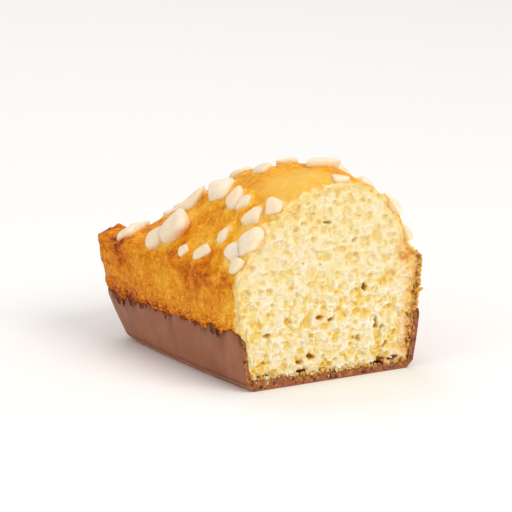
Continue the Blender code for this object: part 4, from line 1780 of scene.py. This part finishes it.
@dataclass(frozen=True)
class ChocolateFinish:
    """Milk chocolate: satin brown, streaked where it ran down, painted lighter underneath and rough at the
    cut.
    """

    body: Colour = srgb(147, 86, 52)
    bloom: Colour = srgb(163, 100, 66)
    lip: Colour = srgb(154, 78, 40)
    # Painted light: the foot and its bloom are lighter as though lit from the floor below.
    foot: Colour = srgb(168, 102, 58)
    lit_foot_bloom: Colour = srgb(194, 130, 82)
    # Painted shade: in the grooves of the runs, the torn lip's notches, the step over the foot and the
    # section's holes.
    shade_brown: Colour = srgb(86, 42, 18)
    section: Colour = srgb(158, 94, 58)
    crumbs: Colour = srgb(204, 138, 64)

    def material(self) -> bpy.types.Material:
        """The material: body and bloom by a slow cloud, with painted shade in the streaks, the lip's gaps and
        the step.

        Returns:
            A satin coat with a clouded foot in painted light, and a rough section full of crumbs and painted
            shade.
        """
        g = Graph("milk_chocolate")
        cloud = g.noise(5.0 * MM, 3.0)
        lip, section = g.attribute("lip"), g.attribute("section")
        tone = g.tint(self.body, self.bloom, cloud, 0.35, 0.7)
        tone = g.tint(tone, self.lip, lip, 0.3, 1.0, 0.6)
        # Painted shade in the grooves of the runs, strongest by the lip.
        streaked = g.product(g.level(g.attribute("streak"), 0.62, 0.3), g.level(lip, 0.0, 0.8, 0.1, 0.75))
        tone = g.blend(streaked, tone, self.shade_brown)
        # Painted shade in the notches of the torn lip.
        tone = g.tint(tone, self.shade_brown, g.attribute("gap"), 0.15, 0.7, 0.9)
        # Painted light on the foot, as though lit from the floor below.
        foot = g.tint(self.foot, self.lit_foot_bloom, cloud, 0.35, 0.65)
        tone = g.tint(tone, foot, g.attribute("foot"), 0.2, 0.8, 0.9)
        # Painted shade: a dark line where the foot's chamfer steps in.
        tone = g.tint(tone, self.shade_brown, g.attribute("step"), 0.3, 1.0, 0.6)
        # Painted shade: dark spots stand for the shaded holes of the rough section.
        cut = g.tint(self.shade_brown, self.section, g.noise(0.9 * MM, 4.0, 0.6), 0.36, 0.5)
        cut = g.tint(cut, self.crumbs, g.noise(0.8 * MM, 3.0, 0.6), 0.55, 0.64, 0.8)
        return g.finish(
            Base_Color=g.blend(section, tone, cut),
            Roughness=g.level(section, 0.0, 1.0, 0.42, 0.75),
            Normal=g.bump(g.noise(0.8 * MM, 2.0), 0.02 * MM),
            Specular_IOR_Level=0.3,
            Subsurface_Weight=0.05,
            Subsurface_Radius=(1.0, 0.8, 0.6),
            Subsurface_Scale=0.5 * MM,
        )


@dataclass(frozen=True)
class FleckFinish:
    """Loose crumbs, from pale crumb to golden crust."""

    pale: Colour = srgb(236, 204, 132)
    golden: Colour = srgb(214, 150, 66)
    brown: Colour = srgb(160, 92, 36)

    def material(self) -> bpy.types.Material:
        """The material: each crumb's own tone, mottled.

        Returns:
            A matt crumb.
        """
        g = Graph("loose_crumb")
        gold = g.attribute("gold")
        tone = g.tint(self.pale, self.golden, gold, 0.3, 0.9)
        tone = g.tint(tone, self.brown, gold, 0.9, 1.3)
        return g.finish(
            Base_Color=g.tint(tone, self.golden, g.noise(0.5 * MM, 2.0), 0.45, 0.7, 0.5),
            Roughness=0.85,
            Specular_IOR_Level=0.2,
            Subsurface_Weight=0.3,
            Subsurface_Radius=(1.0, 0.95, 0.4),
            Subsurface_Scale=0.6 * MM,
        )


@dataclass(frozen=True)
class Lamp:
    """A square area light: where it hangs, in degrees as for the camera, its side, power and colour."""

    name: str
    azimuth: float
    elevation: float
    size: float
    watts: float
    colour: Colour


@dataclass(frozen=True)
class Studio:
    """A plain pale floor, soft area lights and a long lens at the photograph's viewing angle."""

    azimuth: float = -32.83
    elevation: float = 13.35
    distance: float = 1.365
    aim: tuple[float, float, float] = (0.0, -0.002, 0.0182)
    lens: float = 520.0
    floor_size: float = 6.0
    floor_colour: Colour = srgb(250, 249, 247)
    sky: float = 0.6
    lamp_distance: float = 0.6
    lamps: tuple[Lamp, ...] = (
        Lamp("key", 12.0, 42.0, 0.35, 1.7, (1.0, 0.985, 0.96)),
        Lamp("fill", -80.0, 30.0, 0.45, 0.5, (1.0, 0.99, 0.97)),
        Lamp("back", 170.0, 55.0, 0.3, 0.8, (1.0, 0.99, 0.97)),
    )

    def stand(
        self, data: bpy.types.ID, azimuth: float, elevation: float, distance: float
    ) -> bpy.types.Object:
        """Stands a camera or a light off the aim, turned to face it.

        Args:
            data: the camera or light.
            azimuth: round the cake from the cut's side, to the right, in degrees.
            elevation: above the horizon, in degrees.
            distance: from the aim.

        Returns:
            Its object, which has the name of the data.
        """
        turn, rise = math.radians(azimuth), math.radians(elevation)
        back = Vector((math.sin(turn) * math.cos(rise), -math.cos(turn) * math.cos(rise), math.sin(rise)))
        item = bpy.data.objects.new(data.name, data)
        item.location = Vector(self.aim) + back * distance
        item.rotation_euler = back.to_track_quat("Z", "Y").to_euler()
        bpy.context.scene.collection.objects.link(item)
        return item

    def camera(self) -> None:
        """Places the camera on the photograph's viewing line."""
        data = bpy.data.cameras.new("camera")
        data.lens = self.lens
        data.clip_end = 10.0
        bpy.context.scene.camera = self.stand(data, self.azimuth, self.elevation, self.distance)

    def floor(self) -> None:
        """Lays the floor under the cake."""
        half = self.floor_size / 2.0
        mesh = bpy.data.meshes.new("floor")
        corners = [(-half, -half, 0.0), (half, -half, 0.0), (half, half, 0.0), (-half, half, 0.0)]
        mesh.from_pydata(corners, [], [(0, 1, 2, 3)])
        g = Graph("pale_floor")
        mesh.materials.append(g.finish(Base_Color=self.floor_colour, Roughness=0.9))
        floor = bpy.data.objects.new("floor", mesh)
        bpy.context.scene.collection.objects.link(floor)

    def hang(self, lamp: Lamp) -> None:
        """Hangs a light that faces the cake."""
        data = bpy.data.lights.new(lamp.name, "AREA")
        data.size, data.energy, data.color = lamp.size, lamp.watts, lamp.colour
        self.stand(data, lamp.azimuth, lamp.elevation, self.lamp_distance)

    def build(self) -> None:
        """Sets up the camera, the floor, the lights and a pale sky."""
        self.camera()
        self.floor()
        for lamp in self.lamps:
            self.hang(lamp)
        world = bpy.data.worlds.new("sky")
        world.use_nodes = True
        background = world.node_tree.nodes["Background"]
        background.inputs["Color"].default_value = (1.0, 1.0, 1.0, 1.0)
        background.inputs["Strength"].default_value = self.sky
        bpy.context.scene.world = world
        bpy.context.scene.view_settings.view_transform = "Standard"


def main() -> None:
    """Builds the studio and the cake, piece by piece."""
    logging.basicConfig(level=logging.INFO, format="%(name)s: %(message)s")
    Studio().build()
    mould = Mould()
    dome = Dome(mould)
    coat = CoatLine(mould)
    sugar = SugarPlan(mould)
    outline = CutOutline(mould, dome, coat)
    BakedCrust(mould, dome, coat, sugar).build(CrustFinish().material())
    CutCrumb(outline).build(CrumbFinish().material())
    SugarNibs(sugar, dome).build(SugarFinish().material())
    ChocolateCoat(mould, coat).build(ChocolateFinish().material())
    LooseCrumbs(outline).build(FleckFinish().material())


if __name__ == "__main__":
    main()
